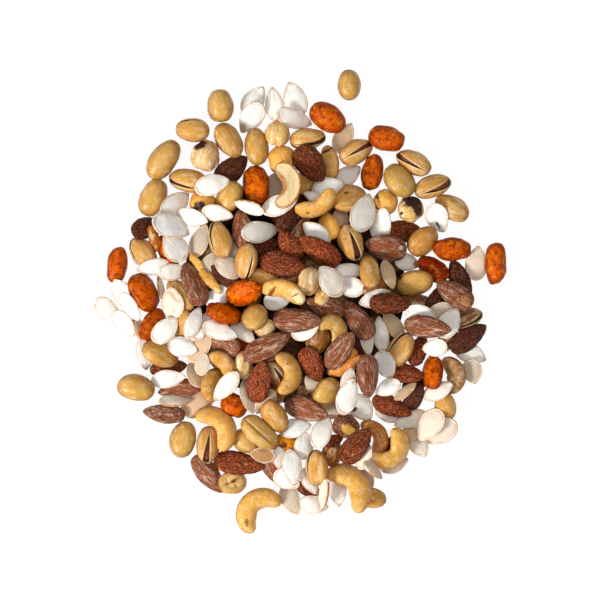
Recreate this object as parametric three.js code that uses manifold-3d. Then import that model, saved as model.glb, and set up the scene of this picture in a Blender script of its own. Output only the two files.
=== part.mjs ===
// A heap of mixed nuts as it lies on a table: almonds, cashews, pistachios, hazelnuts, coated
// peanuts and pumpkin seeds. Millimetres, +Z up, the origin on the table under the middle.
// The heap is one solid: a low core, with the nuts that show lying on it and on each other,
// fused where they touch. Three nuts lie beside it by themselves.
import * as THREE from "three";
import { mergeVertices } from "three/addons/utils/BufferGeometryUtils.js";
import Module from "manifold-3d";

// The core: a low mound under the middle of the heap.
const CORE_CENTRE = [-3, 6];
const CORE_HALF_AXES = [56, 58];
const CORE_HEIGHT = 17;
const CORE_FULLNESS = 0.75; // the power of its profile: below 1 it is domed, at 1 a parabola
const CORE_SIDES = 12;
const CORE_RINGS = 3;

// How the nuts rest on each other.
const FIELD_PITCH = 1; // spacing of the height field that stands for the top of the heap so far
const FIELD_REACH = 130; // the field runs this far from the middle each way
const CONTACT_SHARE = 0.92; // a nut touches others within this share of its outline
const SINK = 0.9; // a nut runs this far into the nuts it rests on
const TABLE_GAP = 0.05; // but stays this far off the table
const STEEPEST = 0.45; // the steepest slope at which a nut leans
const COARSE_STEP = 0.15;
const FINE_STEP = 0.05;

// A nut that touches nothing but the table is drawn in, until it fuses with its nearest neighbour.
const DRAW_STEP = 0.25;
const DRAW_FURTHEST = 8;
const DRAW_WAYS = 12; // the level directions that are tried
const NEIGHBOUR_REACH = 2; // nuts that are further apart than this can't be fused
const FUSED_VOLUME = 0.1; // nuts that share this much (mm3) are fused

// The form of each kind, as shares of its length and width.
// widest: where it is broadest, from -1 at its blunt end to 1 at its nose.
// nose: the two powers that draw the outline from there to the nose.
// thick: its thickness against its width. meridians: where its long edges run, in degrees round
// its length from its left side over the top. along: how many bands it has from end to end.
const ROUND = [0, 60, 120, 180, 240, 300];
const SQUARE = [0, 90, 180, 270];
const SHELL = [0, 20, 90, 180, 270, 340]; // a pistachio's run from its slit
const FORMS = {
  almond: { widest: -0.2, nose: [1.9, 0.8], thick: 0.72, meridians: ROUND, along: 4 },
  peanut: { widest: -0.05, nose: [2, 0.5], thick: 0.94, meridians: ROUND, along: 4 },
  chilli_peanut: { widest: 0, nose: [2, 0.5], thick: 0.92, meridians: ROUND, along: 4 },
  hazelnut: { widest: -0.1, nose: [2, 0.6], thick: 0.94, meridians: ROUND, along: 4 },
  pistachio: { widest: -0.1, nose: [2, 0.6], thick: 0.92, meridians: SHELL, along: 4 },
  chip: { widest: 0, nose: [2, 0.5], thick: 0.8, meridians: SQUARE, along: 3 },
  cashew: { meridians: ROUND, along: 5 },
  seed: { widest: -0.12, nose: [1.8, 0.75], flat: true, sides: 8, along: 2 },
};
const FULL = 1.15; // a nut of few sides is drawn this much thicker, to keep its true size
const BROAD = 1.05; // and this much longer and broader
const SEED_THICKNESS = 3.4;
const EDGE_SEED_THICKNESS = 6.8; // a seed that is seen from its edge stands this high
const EDGE_SEED_SHARE = 0.42; // a seed narrower than this share of its length is seen from its edge
const SEED_CURVE = 0.5; // the power of a seed's cheeks: lower is flatter
const CASHEW_ARM = 0.2; // half the thickness of a cashew's arm, against its length
const CASHEW_ARM_OF_DEPTH = 0.42; // but at most this share of its depth
const CASHEW_BLUNT = 3.5; // the power of its round ends
const KEELED = [0, 60, 120, 180, 270]; // nuts on top of others have one edge less, underneath
const SLIT_DEPTH = 0.35; // a gape of 1 runs this far into the shell's radius
const SLIT_START = -0.6; // where the slit starts, from -1 at the stem to 1 at the mouth

// The nuts that show. Each row: layer (0 lies lowest), x, y, heading of the nose in degrees
// anticlockwise from +X, length, width.
const ALMONDS = [
  [0, -34.3, 65.5, 40, 20, 12], [2, 5.3, 68, -52, 21.5, 14], [0, 51, 34, 10, 20, 12],
  [3, 42.8, 26.3, 168, 21.5, 13], [3, 9.6, 24.5, 148, 24, 11.5], [2, -5, 27, 125, 17, 10.5],
  [1, -28.5, 35, 100, 21, 11], [0, -6, 42, 70, 19, 10], [0, -77, 36.5, 20, 16, 10.5],
  [3, -53.2, 8, 115, 23.5, 12], [1, -37, 12, 145, 18, 9], [2, -8.6, 17.7, -12, 24, 12],
  [3, -1.3, -10, -2, 24.5, 12], [3, -16.3, -23, 28, 26.5, 11.5], [1, -39.5, -21, 152, 21, 12],
  [1, 12.5, -3.5, 160, 20, 11], [3, 28.6, -9.7, 128, 23.5, 12], [2, 45.2, -1.8, -2, 21.5, 10.8],
  [2, 20, -25, 55, 22, 11.5], [3, 6, -32.3, -65, 19, 11.5], [0, 80, 10.5, 110, 21, 10.5],
  [1, 77.3, 3, 147, 21, 12], [0, 70, 1, 55, 19, 10], [3, 63.8, -13.5, -8, 23.8, 11],
  [1, 84.5, -19, 35, 22, 11], [1, 59.5, -25, 70, 17, 9], [0, 28, -24, 80, 18, 10],
  [0, -66, -34, 8, 19, 8.5], [1, -60.5, -44.7, 190, 22.5, 9], [0, -68.4, -57, 174, 21.5, 9.5],
  [3, -20.2, -40.7, 78, 21.5, 12], [1, -30.5, -82, -8, 26, 11.8], [0, -46, -87.5, -52, 23.5, 11],
  [0, -13.5, -85, -62, 16, 10], [3, 33.7, -38, -88, 22.3, 11.2], [3, 3.3, -54.8, -17, 23, 12],
  [2, 46.3, -53.5, -22, 21.5, 9.8], [1, 53.5, -37, -8, 18.5, 9.5], [1, 57.5, -49, 60, 15, 9],
  [2, 28, -72.7, 52, 22, 12], [0, 46, -72.5, 60, 12, 7], [1, 17, -70.5, 20, 10, 6],
  [1, 4.5, -95, -20, 13, 7], [0, 58, -42.5, 20, 14, 8],
];
const PEANUTS = [
  [1, -21.8, 77, 98, 19, 11.8], [0, -68.6, 70.3, 55, 22, 13.5], [0, -73.7, 51.5, 68, 20, 13.5],
  [1, -35.3, 51.5, 60, 16.5, 12.5], [0, 50, 59.7, -50, 19, 14], [1, 61.5, 29.3, 40, 17.5, 13],
  [3, -22.5, -8.3, 60, 14, 12.5], [2, 57, 8.4, 10, 19.3, 12.8], [1, 9, -19.5, 70, 14.5, 12.4],
  [0, 38, 7, 30, 15, 10], [1, -3, 11, 0, 17, 11], [0, -82.3, -44, -12, 19.5, 13.3],
  [0, -58.7, -69.8, 76, 18.3, 13.4], [2, 13.2, -46.6, 60, 16.5, 12.6],
  [0, -27, -70.6, -20, 14, 12.5], [1, 16, -77, 75, 14, 10.5], [1, -11, -46, 60, 15, 10],
  [1, -14, -29.5, 0, 12, 9],
];
const CHILLI_PEANUTS = [
  [1, 14, 91.5, -35, 19.5, 13.5], [1, 43.5, 81, -12, 18.5, 12.5], [0, 36, 64, 80, 18.8, 11],
  [2, -22, 57.7, 95, 19.7, 13.9], [0, -91.8, 17.7, 82, 18.5, 10.5], [0, -66, 25, 100, 18, 11],
  [1, -78.3, 3.8, 115, 20.5, 13.5], [1, -74, -12.5, 62, 17.5, 11], [3, -28, 3.6, 12, 18.8, 12.4],
  [3, -37.8, -6.9, -17, 18, 10.5], [1, 76.5, 25.6, -3, 18.8, 11.8], [0, 98.3, 18.5, 87, 21.5, 11],
  [1, 67, 15.5, -35, 17.5, 10.5], [0, -29, -22, 0, 15, 10], [1, -33, -52.8, -25, 14.5, 12],
  [2, 66.5, -36.5, 83, 17.5, 10.3], [0, -6.3, -71.6, -5, 13.5, 9],
];
const HAZELNUTS = [
  [0, -47.5, 72.5, 75, 15.5, 14.5], [0, -11.2, 83.5, 90, 13, 12.6], [1, -9, 71, 90, 14, 14],
  [0, -48.5, 49, 0, 13, 12.5], [0, 43, 49.5, 60, 13, 12.5], [1, 55.5, 45.5, 20, 13, 12.8],
  [1, 14, 36.5, 95, 13.5, 11], [2, -17.5, -14, 20, 11.5, 9], [2, 4.3, 9.5, 80, 14, 11],
  [2, 11, 2.2, 240, 9.5, 8], [2, -28, -32.3, 80, 14, 8.8], [2, 23.2, -63.2, -15, 14, 12],
];
const CHIPS = [
  [1, -73, 31, 105, 13.5, 5.5], [3, -51.8, 18.5, -50, 10, 4.5], [3, -44.8, 9.5, -47, 15, 5.5],
];
const SEEDS = [
  [0, -23.2, 100.3, 55, 17, 11], [1, -24.5, 91.5, 235, 18, 11.5], [0, -13, 98.5, 97, 17.5, 9.5],
  [0, -2.6, 101, 108, 18.5, 12], [1, -2.8, 91, -18, 19, 10], [0, 22, 81.5, 62, 17, 10],
  [2, -44, 57.7, 15, 18.5, 11], [0, -13, 58, 60, 17, 10], [1, -10, 47.5, 20, 19.5, 10.5],
  [1, 14, 56.5, 12, 17, 10], [0, 24, 62.5, 35, 16, 10], [1, 8, 50.5, 155, 15, 6],
  [1, 69, 41, -65, 15.5, 11.5], [3, 31.7, 43.5, 72, 20.5, 13], [2, 40.5, 38, 80, 18, 11],
  [1, 8, 33, 140, 17, 10], [3, -20, 34, 8, 19, 11.3], [2, -25.5, 46.3, 160, 17, 6],
  [1, -41.3, 43.3, -12, 16.5, 8.5], [2, -54, 41.3, -15, 17, 9], [1, -50.3, 29.8, 68, 18.5, 9.5],
  [2, -64.5, 37, -25, 20, 12.5], [1, -62.8, 26.5, 125, 17, 12.3], [0, -62.5, 48, 40, 17.5, 11],
  [1, -73.5, 16.5, 190, 17, 8.5], [2, -63, 14, 5, 17, 8.5], [0, -89.5, 4, 120, 15, 10.5],
  [1, -84.8, -3.6, -60, 17, 7.5], [0, -96.8, -5, -40, 16.5, 10], [1, -88.3, -12, -50, 16.5, 9],
  [0, -81, -14, 110, 15, 5], [2, -63.8, -1.2, 100, 16.5, 11.7], [2, -67.3, -15, 45, 17.5, 11],
  [0, -70, 6.5, 100, 13.5, 3.5], [0, -78, -27, -85, 17, 9], [2, -58.8, -23.5, -15, 16.5, 10.5],
  [1, -50, -24, 50, 18, 10], [2, -36, 16.5, 150, 16.5, 10.5], [0, -45, 18, 60, 15, 9],
  [0, -34, 24, 80, 16, 9], [1, -41, 1.8, 215, 15, 10], [1, -11, 0, 15, 15, 10],
  [2, -40, -15.3, -20, 19, 9.5], [1, -28.3, -16, -40, 15.5, 8], [2, -53.2, -11.3, 68, 17.5, 8.3],
  [1, -49, -13, 65, 16, 8], [2, -48.5, -32, 75, 12, 7.5], [1, -52, -37.5, 125, 14, 10],
  [3, 15.3, 9.5, 128, 18.5, 12.5], [2, 24.5, 6.7, 165, 16, 10.5], [1, 25, 14.5, 0, 17, 8],
  [1, 44.3, 12.6, -72, 15.5, 7], [1, 37.5, 0.5, 195, 17.5, 9.5], [1, 2.5, -15, 20, 15, 10],
  [1, 33.5, -20.5, -82, 15, 7.2], [2, 40.5, -17, 98, 18.5, 8.2], [1, 46.8, -12.5, 125, 17, 8.5],
  [1, 88.8, 18.5, 85, 17.8, 11.4], [2, 53.8, 19, -15, 13.5, 9], [2, 61, -7.5, -15, 17, 10],
  [0, 70.5, -6.5, 190, 16, 11], [1, 74.5, -11.5, 60, 17.5, 11.5], [0, 85.5, -26.5, -25, 18, 10.5],
  [1, 67.5, -24, 185, 13.2, 9.3], [2, -66, -39.5, 8, 17.5, 9.5], [1, -62.5, -50.5, 0, 17, 5.8],
  [0, -50.8, -51.5, 35, 20, 13], [3, -37, -43.3, 230, 19, 9.5], [1, -25.3, -48, -80, 18.5, 9.5],
  [1, -17.5, -51, 233, 15, 9], [2, -19, -77.7, 172, 13.5, 8], [2, -4, -84, -82, 19, 10],
  [1, -9.3, -79.5, 115, 14, 9], [1, -6.5, -90, -30, 15, 11], [0, -4.7, -100.5, -65, 17, 10],
  [2, 24.2, -39.8, 75, 13, 8], [3, 23.7, -48, 74, 20, 10.7], [2, 42.7, -32.6, -62, 15.5, 11],
  [2, 44, -44, 205, 14, 8.5], [3, 52.8, -45.8, 38, 14, 4.6], [1, 7.5, -43.5, 130, 15, 9],
  [1, 17, -55, 20, 14, 9], [2, 30.8, -54.3, -52, 15.5, 12], [1, 55.5, -60, 200, 17.5, 9],
  [0, 45, -57.5, -20, 16, 8.5], [0, 86.5, -36, -75, 13, 10.5], [1, 69.5, -45.5, 28, 16.5, 9],
  [2, 65, -62.8, 235, 19.5, 12.3], [0, 71.3, -66.3, 220, 17.5, 12.3], [0, 59.7, -73, -60, 14, 10],
  [0, 56, -67, 0, 10, 8], [1, 1.8, -73, 85, 14.5, 10], [2, 11, -66, 66, 17.5, 10.5],
  [1, -2.5, -64.2, 12, 17, 9.6], [1, 18.8, -95.8, -84, 16.5, 9.5], [2, 12, -97.3, -96, 16, 5],
  [0, 7, -103, -10, 15, 9.5], [1, 5, -91, -62, 15, 8], [1, 32.3, -78.5, 68, 14, 7.5],
  [1, 36.5, -84.8, -45, 13, 5.2], [0, 32.8, -88.3, -55, 14, 8], [0, 47.5, -82.5, 20, 15, 9],
  [0, 20, 40, 80, 16, 9],
];
// A cashew's heading is the way its back faces. Its length is the span across its two ends and
// its width the depth of the crescent.
const CASHEWS = [
  [1, 15.6, 69, 10, 18, 8], [2, -6, 57, 0, 24, 13.5], [3, 8.5, 47, -63, 22.5, 11.5],
  [3, -8, 4.5, 73, 23, 11], [2, -38.5, -31, 48, 17, 10], [1, 17, -14, 45, 17, 12],
  [2, -44.5, -42, 165, 18, 10], [3, -5.5, -36.3, 5, 22.5, 12.8], [1, -40.5, -62.8, 38, 26, 15],
  [0, -33.8, -91.7, 270, 13.5, 11], [1, 21.5, -32, -45, 19, 9], [1, 28, -31.3, 120, 12, 7.5],
  [1, 38.2, -68.3, 22, 20, 11.5], [1, 77.8, -37.5, 12, 19.5, 11.2], [1, 46, -76, -42, 25, 15.5],
  [2, 26, -92.4, 40, 28, 16],
];
// A pistachio's heading is that of its mouth. Its row ends with the place of the slit, from -1 at
// the right edge over 0 on top to 1 at the left edge, and how wide it gapes.
const PISTACHIOS = [
  [0, -54, 85.2, 175, 17.6, 12.2, -0.85, 1], [1, -35.7, 80, -58, 19, 12.5, 0.95, 1],
  [1, 3.9, 81, 5, 18, 11, -0.6, 1.3], [1, 28.2, 74.3, 30, 18, 12, 0, 1],
  [1, 57, 69, 152, 18.5, 11.5, 0.25, 1], [0, -56.5, 60, 170, 19, 12, 0.6, 1],
  [1, 24.5, 51, 10, 18.5, 14, 0, 0], [1, 66.7, 57.2, 18, 19.5, 11.5, -0.45, 1.5],
  [1, 76.2, 46.3, 150, 18.5, 12, 0.9, 1], [2, 25.3, 28.7, -68, 19, 12.5, 0.25, 1.5],
  [0, -1, 35, 60, 17, 11, 0.5, 1], [2, -40, 30, 105, 19, 12, 0.75, 1],
  [0, -79, 24, 125, 17, 12, 0.85, 1], [1, -70, -27, -28, 19, 12.5, 0, 0],
  [3, -26.8, 19.2, -95, 18.3, 11.4, 0.5, 0.6], [3, 34.6, 14.1, 97, 17.3, 10.2, 0, 0],
  [2, 50.3, -24.8, 60, 19, 12.5, 0.75, 1], [0, 83, -9.5, 20, 18, 11, -0.6, 1],
  [1, -60, 2, 125, 19, 12, 0, 0], [1, -58.5, -12.5, 80, 16, 9, 0, 0],
  [1, -18.5, 11, 0, 18, 10, 0, 0], [0, 58, -1, 0, 17, 8, 0, 0], [0, 74, -19.5, 60, 14, 9, 0, 0],
  [1, -12, -37, -55, 14, 9.5, 0.3, 1.2], [2, -12.5, -58.3, -57, 18.5, 12, 0, 0],
  [2, -20, -66.4, -42, 22.8, 12.5, 0, 0], [1, -46, -72.5, 263, 19, 12.3, 0, 1.4],
  [0, 72.8, -52.8, 100, 15.5, 11, 0.9, 0.8], [2, 8.3, -83.8, 95, 18, 11.7, 0.8, 1],
  [0, 36.7, -99.5, -10, 13.5, 10.5, 0.5, 0],
];
const HEAP = [
  ["hazelnut", HAZELNUTS],
  ["peanut", PEANUTS],
  ["chilli_peanut", CHILLI_PEANUTS],
  ["pistachio", PISTACHIOS],
  ["almond", ALMONDS],
  ["cashew", CASHEWS],
  ["chip", CHIPS],
  ["seed", SEEDS],
];
const LAYERS = [0, 1, 2, 3];

// The nuts that lie beside the heap.
const STRAYS = {
  stray_peanut_back: ["peanut", 0, 24.7, 108, 90, 16, 11.6],
  stray_peanut_left: ["peanut", 0, -40, 97.5, 97, 17, 13.5],
  stray_cashew_front: ["cashew", 0, -22.3, -103.9, 135, 27, 16.5],
};

const STRAY_MERIDIANS = [0, 30, 60, 90, 120, 150, 180, 210, 240, 270, 300, 330];
const STRAY_BANDS = 12;

const HEAP_COLOUR = 0xb98a5a;
const PEANUT_COLOUR = 0xcfa15a;
const CASHEW_COLOUR = 0xe0b468;
const ROUGHNESS = 0.6;

// Half the width at s along the length, as a share of the greatest.
function breadth(form, s) {
  if (s <= form.widest) {
    const back = (form.widest - s) / (1 + form.widest);
    return Math.sqrt(Math.max(0, 1 - back * back));
  }
  const front = (s - form.widest) / (1 - form.widest);
  return Math.max(0, 1 - front ** form.nose[0]) ** form.nose[1];
}

// The bent centre line of a cashew: its radius, the half-angle it spans and how far its middle
// lies from the middle of the crescent.
function crescent(length, depth) {
  const arm = Math.min(CASHEW_ARM * length, CASHEW_ARM_OF_DEPTH * depth);
  const half = 2 * Math.atan((depth - 2 * arm) / (length / 2 - arm));
  const bend = (length / 2 - arm) / Math.sin(half);
  return { arm, bend, reach: half + arm / bend, middle: (bend * (1 + Math.cos(half))) / 2 };
}

function thicknessOf(kind, length, width) {
  if (kind !== "seed") return FORMS[kind].thick * width;
  return width < EDGE_SEED_SHARE * length ? EDGE_SEED_THICKNESS : SEED_THICKNESS;
}

function nut(kind, [layer, x, y, heading, length, width, slit = 0, gape = 0]) {
  const turn = THREE.MathUtils.degToRad(heading);
  const form = FORMS[kind];
  return {
    form,
    bands: form.along,
    full: FULL,
    broad: BROAD,
    curve: kind === "cashew" ? crescent(length, width) : null,
    x,
    y,
    cos: Math.cos(turn),
    sin: Math.sin(turn),
    length,
    width,
    half: thicknessOf(kind, length, width) / 2,
    meridians: layer > 0 && form.meridians === ROUND ? KEELED : form.meridians,
    slit: kind === "pistachio" ? Math.acos(slit) : 0,
    gape,
  };
}

// Half the thickness over a point of the nut's own plan, or 0 outside the part that touches.
function halfThickness(piece, along, across) {
  if (piece.curve) {
    const { arm, bend, reach, middle } = piece.curve;
    const turned = Math.abs(Math.atan2(across, along + middle)) / reach;
    if (turned >= CONTACT_SHARE) return 0;
    const radius = arm * Math.sqrt(1 - turned ** CASHEW_BLUNT);
    const off = (Math.hypot(across, along + middle) - bend) / radius;
    return Math.abs(off) < CONTACT_SHARE ? radius * Math.sqrt(1 - off * off) : 0;
  }
  const s = along / (piece.length / 2);
  if (Math.abs(s) >= CONTACT_SHARE) return 0;
  const share = breadth(piece.form, s);
  const off = across / ((piece.width / 2) * share);
  if (Math.abs(off) >= CONTACT_SHARE) return 0;
  const cheek = share * Math.sqrt(1 - off * off);
  return piece.half * (piece.form.flat ? cheek ** SEED_CURVE : cheek);
}

// The height field: the top of the heap so far, over a square grid.
const FIELD_SIDE = (2 * FIELD_REACH) / FIELD_PITCH + 1;
const field = new Float64Array(FIELD_SIDE * FIELD_SIDE);
const bareTable = new Float64Array(FIELD_SIDE * FIELD_SIDE);
const cellAt = (place) => Math.round((place + FIELD_REACH) / FIELD_PITCH);
const placeOf = (cell) => cell * FIELD_PITCH - FIELD_REACH;

function coreHeight(x, y) {
  const [halfX, halfY] = CORE_HALF_AXES;
  const out = ((x - CORE_CENTRE[0]) / halfX) ** 2 + ((y - CORE_CENTRE[1]) / halfY) ** 2;
  return CORE_HEIGHT * Math.max(0, 1 - out) ** CORE_FULLNESS;
}

// Lowers a nut onto the heap at the lean that brings it lowest, and adds it to the height field.
function settle(piece) {
  const reach = Math.max(piece.length, piece.width) / 2 + FIELD_PITCH;
  const cells = [];
  for (let row = cellAt(piece.y - reach); row <= cellAt(piece.y + reach); row += 1) {
    for (let column = cellAt(piece.x - reach); column <= cellAt(piece.x + reach); column += 1) {
      const dx = placeOf(column) - piece.x;
      const dy = placeOf(row) - piece.y;
      const along = dx * piece.cos + dy * piece.sin;
      const across = dy * piece.cos - dx * piece.sin;
      const half = halfThickness(piece, along, across);
      if (half > 0) cells.push({ index: row * FIELD_SIDE + column, along, across, half });
    }
  }
  const heightAt = (pitch, roll, under = field) => {
    let height = -Infinity;
    for (const { index, along, across, half } of cells) {
      height = Math.max(height, under[index] + half - pitch * along - roll * across);
    }
    return height;
  };
  let best = { height: heightAt(0, 0), pitch: 0, roll: 0 };
  for (const step of [COARSE_STEP, FINE_STEP]) {
    const { pitch: pitchFrom, roll: rollFrom } = best;
    const span = step === COARSE_STEP ? STEEPEST : COARSE_STEP;
    for (let pitch = pitchFrom - span; pitch <= pitchFrom + span + step / 2; pitch += step) {
      for (let roll = rollFrom - span; roll <= rollFrom + span + step / 2; roll += step) {
        if (Math.max(Math.abs(pitch), Math.abs(roll)) > STEEPEST + step / 2) continue;
        const height = heightAt(pitch, roll);
        if (height < best.height - 1e-6) best = { height, pitch, roll };
      }
    }
  }
  const lowest = heightAt(best.pitch, best.roll, bareTable) + TABLE_GAP;
  piece.onTable = best.height - SINK < lowest;
  piece.z = Math.max(best.height - SINK, lowest);
  piece.pitch = best.pitch;
  piece.roll = best.roll;
  for (const { index, along, across, half } of cells) {
    const top = piece.z + half + piece.pitch * along + piece.roll * across;
    field[index] = Math.max(field[index], top);
  }
}

// Which of the evenly spaced meridians of a ball, poles on Y, a point is on, from -X over +Z.
function sideOf(x, z, sides) {
  return (Math.round((Math.atan2(z, -x) / (2 * Math.PI)) * sides) + sides) % sides;
}

// A point of a ball of radius 1, poles on Y, moved to the same point of the nut lying along X.
function spindlePoint(piece, x, y, z) {
  const side = sideOf(x, z, piece.meridians.length);
  const angle = piece.slit + THREE.MathUtils.degToRad(piece.meridians[side]);
  const open = Math.max(0, (y - SLIT_START) / (1 - SLIT_START)) * piece.gape;
  const groove = side === 0 ? SLIT_DEPTH * Math.min(1, open) : 0;
  const radius = breadth(piece.form, y) * (1 - groove);
  return [
    (piece.broad * y * piece.length) / 2,
    ((piece.broad * radius * piece.width) / 2) * Math.cos(angle),
    radius * piece.half * piece.full * Math.sin(angle),
  ];
}

// The same for a seed, whose poles are the middles of its two cheeks.
function seedPoint(piece, x, y, z) {
  const chord = Math.sqrt(Math.max(0, 1 - x * x));
  const across = chord > 1e-6 ? (-z / chord) * breadth(piece.form, x) : 0;
  const half = piece.broad / 2;
  return [half * x * piece.length, half * across * piece.width, y * piece.half];
}

// The same for a cashew, bent round its centre line.
function cashewPoint(piece, x, y, z) {
  const { arm, bend, reach, middle } = piece.curve;
  const side = sideOf(x, z, piece.meridians.length);
  const angle = THREE.MathUtils.degToRad(piece.meridians[side]);
  const radius = piece.broad * arm * Math.sqrt(Math.max(0, 1 - Math.abs(y) ** CASHEW_BLUNT));
  const out = bend + radius * Math.cos(angle);
  return [
    out * Math.cos(y * reach) - middle,
    -out * Math.sin(y * reach),
    radius * piece.full * Math.sin(angle),
  ];
}

function nutGeometry(piece) {
  const { sides = piece.meridians.length } = piece.form;
  const geometry = new THREE.SphereGeometry(1, sides, piece.bands);
  const position = geometry.getAttribute("position");
  const pointOf = piece.curve ? cashewPoint : piece.form.flat ? seedPoint : spindlePoint;
  for (let i = 0; i < position.count; i += 1) {
    const [along, across, up] = pointOf(
      piece,
      position.getX(i),
      position.getY(i),
      position.getZ(i),
    );
    position.setXYZ(
      i,
      piece.x + piece.cos * along - piece.sin * across,
      piece.y + piece.sin * along + piece.cos * across,
      piece.z + up + piece.pitch * along + piece.roll * across,
    );
  }
  return geometry;
}

function coreGeometry() {
  const profile = [new THREE.Vector2(0, 0)];
  for (let ring = 0; ring <= CORE_RINGS; ring += 1) {
    const out = Math.cos((ring / CORE_RINGS) * (Math.PI / 2));
    profile.push(new THREE.Vector2(out, (1 - out * out) ** CORE_FULLNESS));
  }
  profile[profile.length - 1].x = 0;
  const geometry = new THREE.LatheGeometry(profile, CORE_SIDES);
  geometry.rotateX(Math.PI / 2);
  geometry.scale(CORE_HALF_AXES[0], CORE_HALF_AXES[1], CORE_HEIGHT);
  geometry.translate(CORE_CENTRE[0], CORE_CENTRE[1], 0);
  return geometry;
}

const wasm = await Module();
wasm.setup();

function solidOf(geometry) {
  geometry.deleteAttribute("normal");
  geometry.deleteAttribute("uv");
  const merged = mergeVertices(geometry);
  return new wasm.Manifold(
    new wasm.Mesh({
      numProp: 3,
      vertProperties: merged.getAttribute("position").array,
      triVerts: new Uint32Array(merged.index.array),
    }),
  );
}

function joined(solids) {
  let round = solids;
  while (round.length > 1) {
    const next = [];
    for (let i = 0; i < round.length; i += 2) {
      next.push(i + 1 < round.length ? round[i].add(round[i + 1]) : round[i]);
    }
    round = next;
  }
  return round[0];
}

// The outer skin of the largest body: loose scraps and the skins of sealed hollows are left out.
function mainBody(solid) {
  const { numProp, vertProperties, triVerts } = solid.getMesh();
  const count = vertProperties.length / numProp;
  const parent = Array.from({ length: count }, (_, i) => i);
  const rootOf = (i) => {
    let root = i;
    while (parent[root] !== root) root = parent[root];
    parent[i] = root;
    return root;
  };
  for (let i = 0; i < triVerts.length; i += 3) {
    parent[rootOf(triVerts[i + 1])] = rootOf(triVerts[i]);
    parent[rootOf(triVerts[i + 2])] = rootOf(triVerts[i]);
  }
  const corner = (i) => new THREE.Vector3().fromArray(vertProperties, triVerts[i] * numProp);
  const volumes = new Map();
  for (let i = 0; i < triVerts.length; i += 3) {
    const root = rootOf(triVerts[i]);
    const part = corner(i).dot(corner(i + 1).cross(corner(i + 2))) / 6;
    volumes.set(root, (volumes.get(root) || 0) + part);
  }
  const [main] = [...volumes].reduce((a, b) => (b[1] > a[1] ? b : a));
  const points = [];
  for (let i = 0; i < triVerts.length; i += 3) {
    if (rootOf(triVerts[i]) !== main) continue;
    for (let k = 0; k < 3; k += 1) points.push(...corner(i + k).toArray());
  }
  const geometry = new THREE.BufferGeometry();
  geometry.setAttribute("position", new THREE.Float32BufferAttribute(points, 3));
  geometry.computeVertexNormals();
  return geometry;
}

const TABLE_DEPTH = 20;
const table = new THREE.BoxGeometry(2 * FIELD_REACH, 2 * FIELD_REACH, TABLE_DEPTH);
table.translate(0, 0, -TABLE_DEPTH / 2);
const tableSolid = solidOf(table);

// Everything below the table's top is cut off, which leaves the lowest nuts a small flat spot.
function meshOf(name, solids, color) {
  const geometry = mainBody(joined(solids).subtract(tableSolid));
  const material = new THREE.MeshStandardMaterial({ color, roughness: ROUGHNESS, metalness: 0 });
  const mesh = new THREE.Mesh(geometry, material);
  mesh.name = name;
  return mesh;
}

for (let row = 0; row < FIELD_SIDE; row += 1) {
  for (let column = 0; column < FIELD_SIDE; column += 1) {
    field[row * FIELD_SIDE + column] = coreHeight(placeOf(column), placeOf(row));
  }
}
const coreSolid = solidOf(coreGeometry());
const pieces = [];
for (const layer of LAYERS) {
  for (const [kind, rows] of HEAP) {
    for (const row of rows.filter(([rowLayer]) => rowLayer === layer)) {
      const piece = nut(kind, row);
      settle(piece);
      piece.solid = solidOf(nutGeometry(piece));
      pieces.push(piece);
    }
  }
}

function distance(a, b) {
  return Math.hypot(a.x - b.x, a.y - b.y, a.z - b.z) - (a.length + b.length) / 2;
}

const fused = (a, b) =>
  a !== b && distance(a, b) < NEIGHBOUR_REACH && a.solid.intersect(b.solid).volume() > FUSED_VOLUME;

// All the nuts that hang together with the first ones, by way of others from the same list.
function cluster(firsts, others) {
  const found = new Set(firsts);
  for (const piece of found) {
    for (const other of others) {
      if (!found.has(other) && fused(piece, other)) found.add(other);
    }
  }
  return found;
}

// The ways in which nuts may be drawn: straight down, unless one is on the table, or level.
function waysOf(moving) {
  const ways = moving.some(({ onTable }) => onTable) ? [] : [[0, 0, -1]];
  for (let i = 0; i < DRAW_WAYS; i += 1) {
    const turn = (i / DRAW_WAYS) * 2 * Math.PI;
    ways.push([Math.cos(turn), Math.sin(turn), 0]);
  }
  return ways;
}

function movedBy(piece, way, drawn) {
  const moved = { ...piece, x: piece.x + way[0] * drawn, y: piece.y + way[1] * drawn };
  moved.z = piece.z + way[2] * drawn;
  moved.solid = solidOf(nutGeometry(moved));
  return moved;
}

// A nut on the table, tipped up towards one side and still on the table.
function tippedBy(piece, turn, slope) {
  const tipped = { ...piece, z: 0 };
  tipped.pitch += slope * (turn[0] * piece.cos + turn[1] * piece.sin);
  tipped.roll += slope * (turn[1] * piece.cos - turn[0] * piece.sin);
  const geometry = nutGeometry(tipped);
  geometry.computeBoundingBox();
  tipped.z = TABLE_GAP - geometry.boundingBox.min.z;
  tipped.solid = solidOf(geometry.translate(0, 0, tipped.z));
  return tipped;
}

// Tips up a nut that lies on the table until it leans on a nut that is held, if it can.
function leans(piece, held) {
  for (let slope = FINE_STEP; slope <= STEEPEST; slope += FINE_STEP) {
    for (const way of waysOf([piece])) {
      const tipped = tippedBy(piece, way, slope);
      if (held.some((other) => fused(tipped, other))) {
        Object.assign(piece, tipped);
        return true;
      }
    }
  }
  return false;
}

// Moves some nuts the shortest way by which one of them fuses with a nut that is held.
function drawIn(moving, held) {
  if (moving.length === 1 && moving[0].onTable && leans(moving[0], held)) return;
  for (let drawn = DRAW_STEP; drawn <= DRAW_FURTHEST; drawn += DRAW_STEP) {
    for (const way of waysOf(moving)) {
      const moved = moving.map((piece) => movedBy(piece, way, drawn));
      if (moved.some((piece) => held.some((other) => fused(piece, other)))) {
        moving.forEach((piece, i) => Object.assign(piece, moved[i]));
        return;
      }
    }
  }
}

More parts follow.
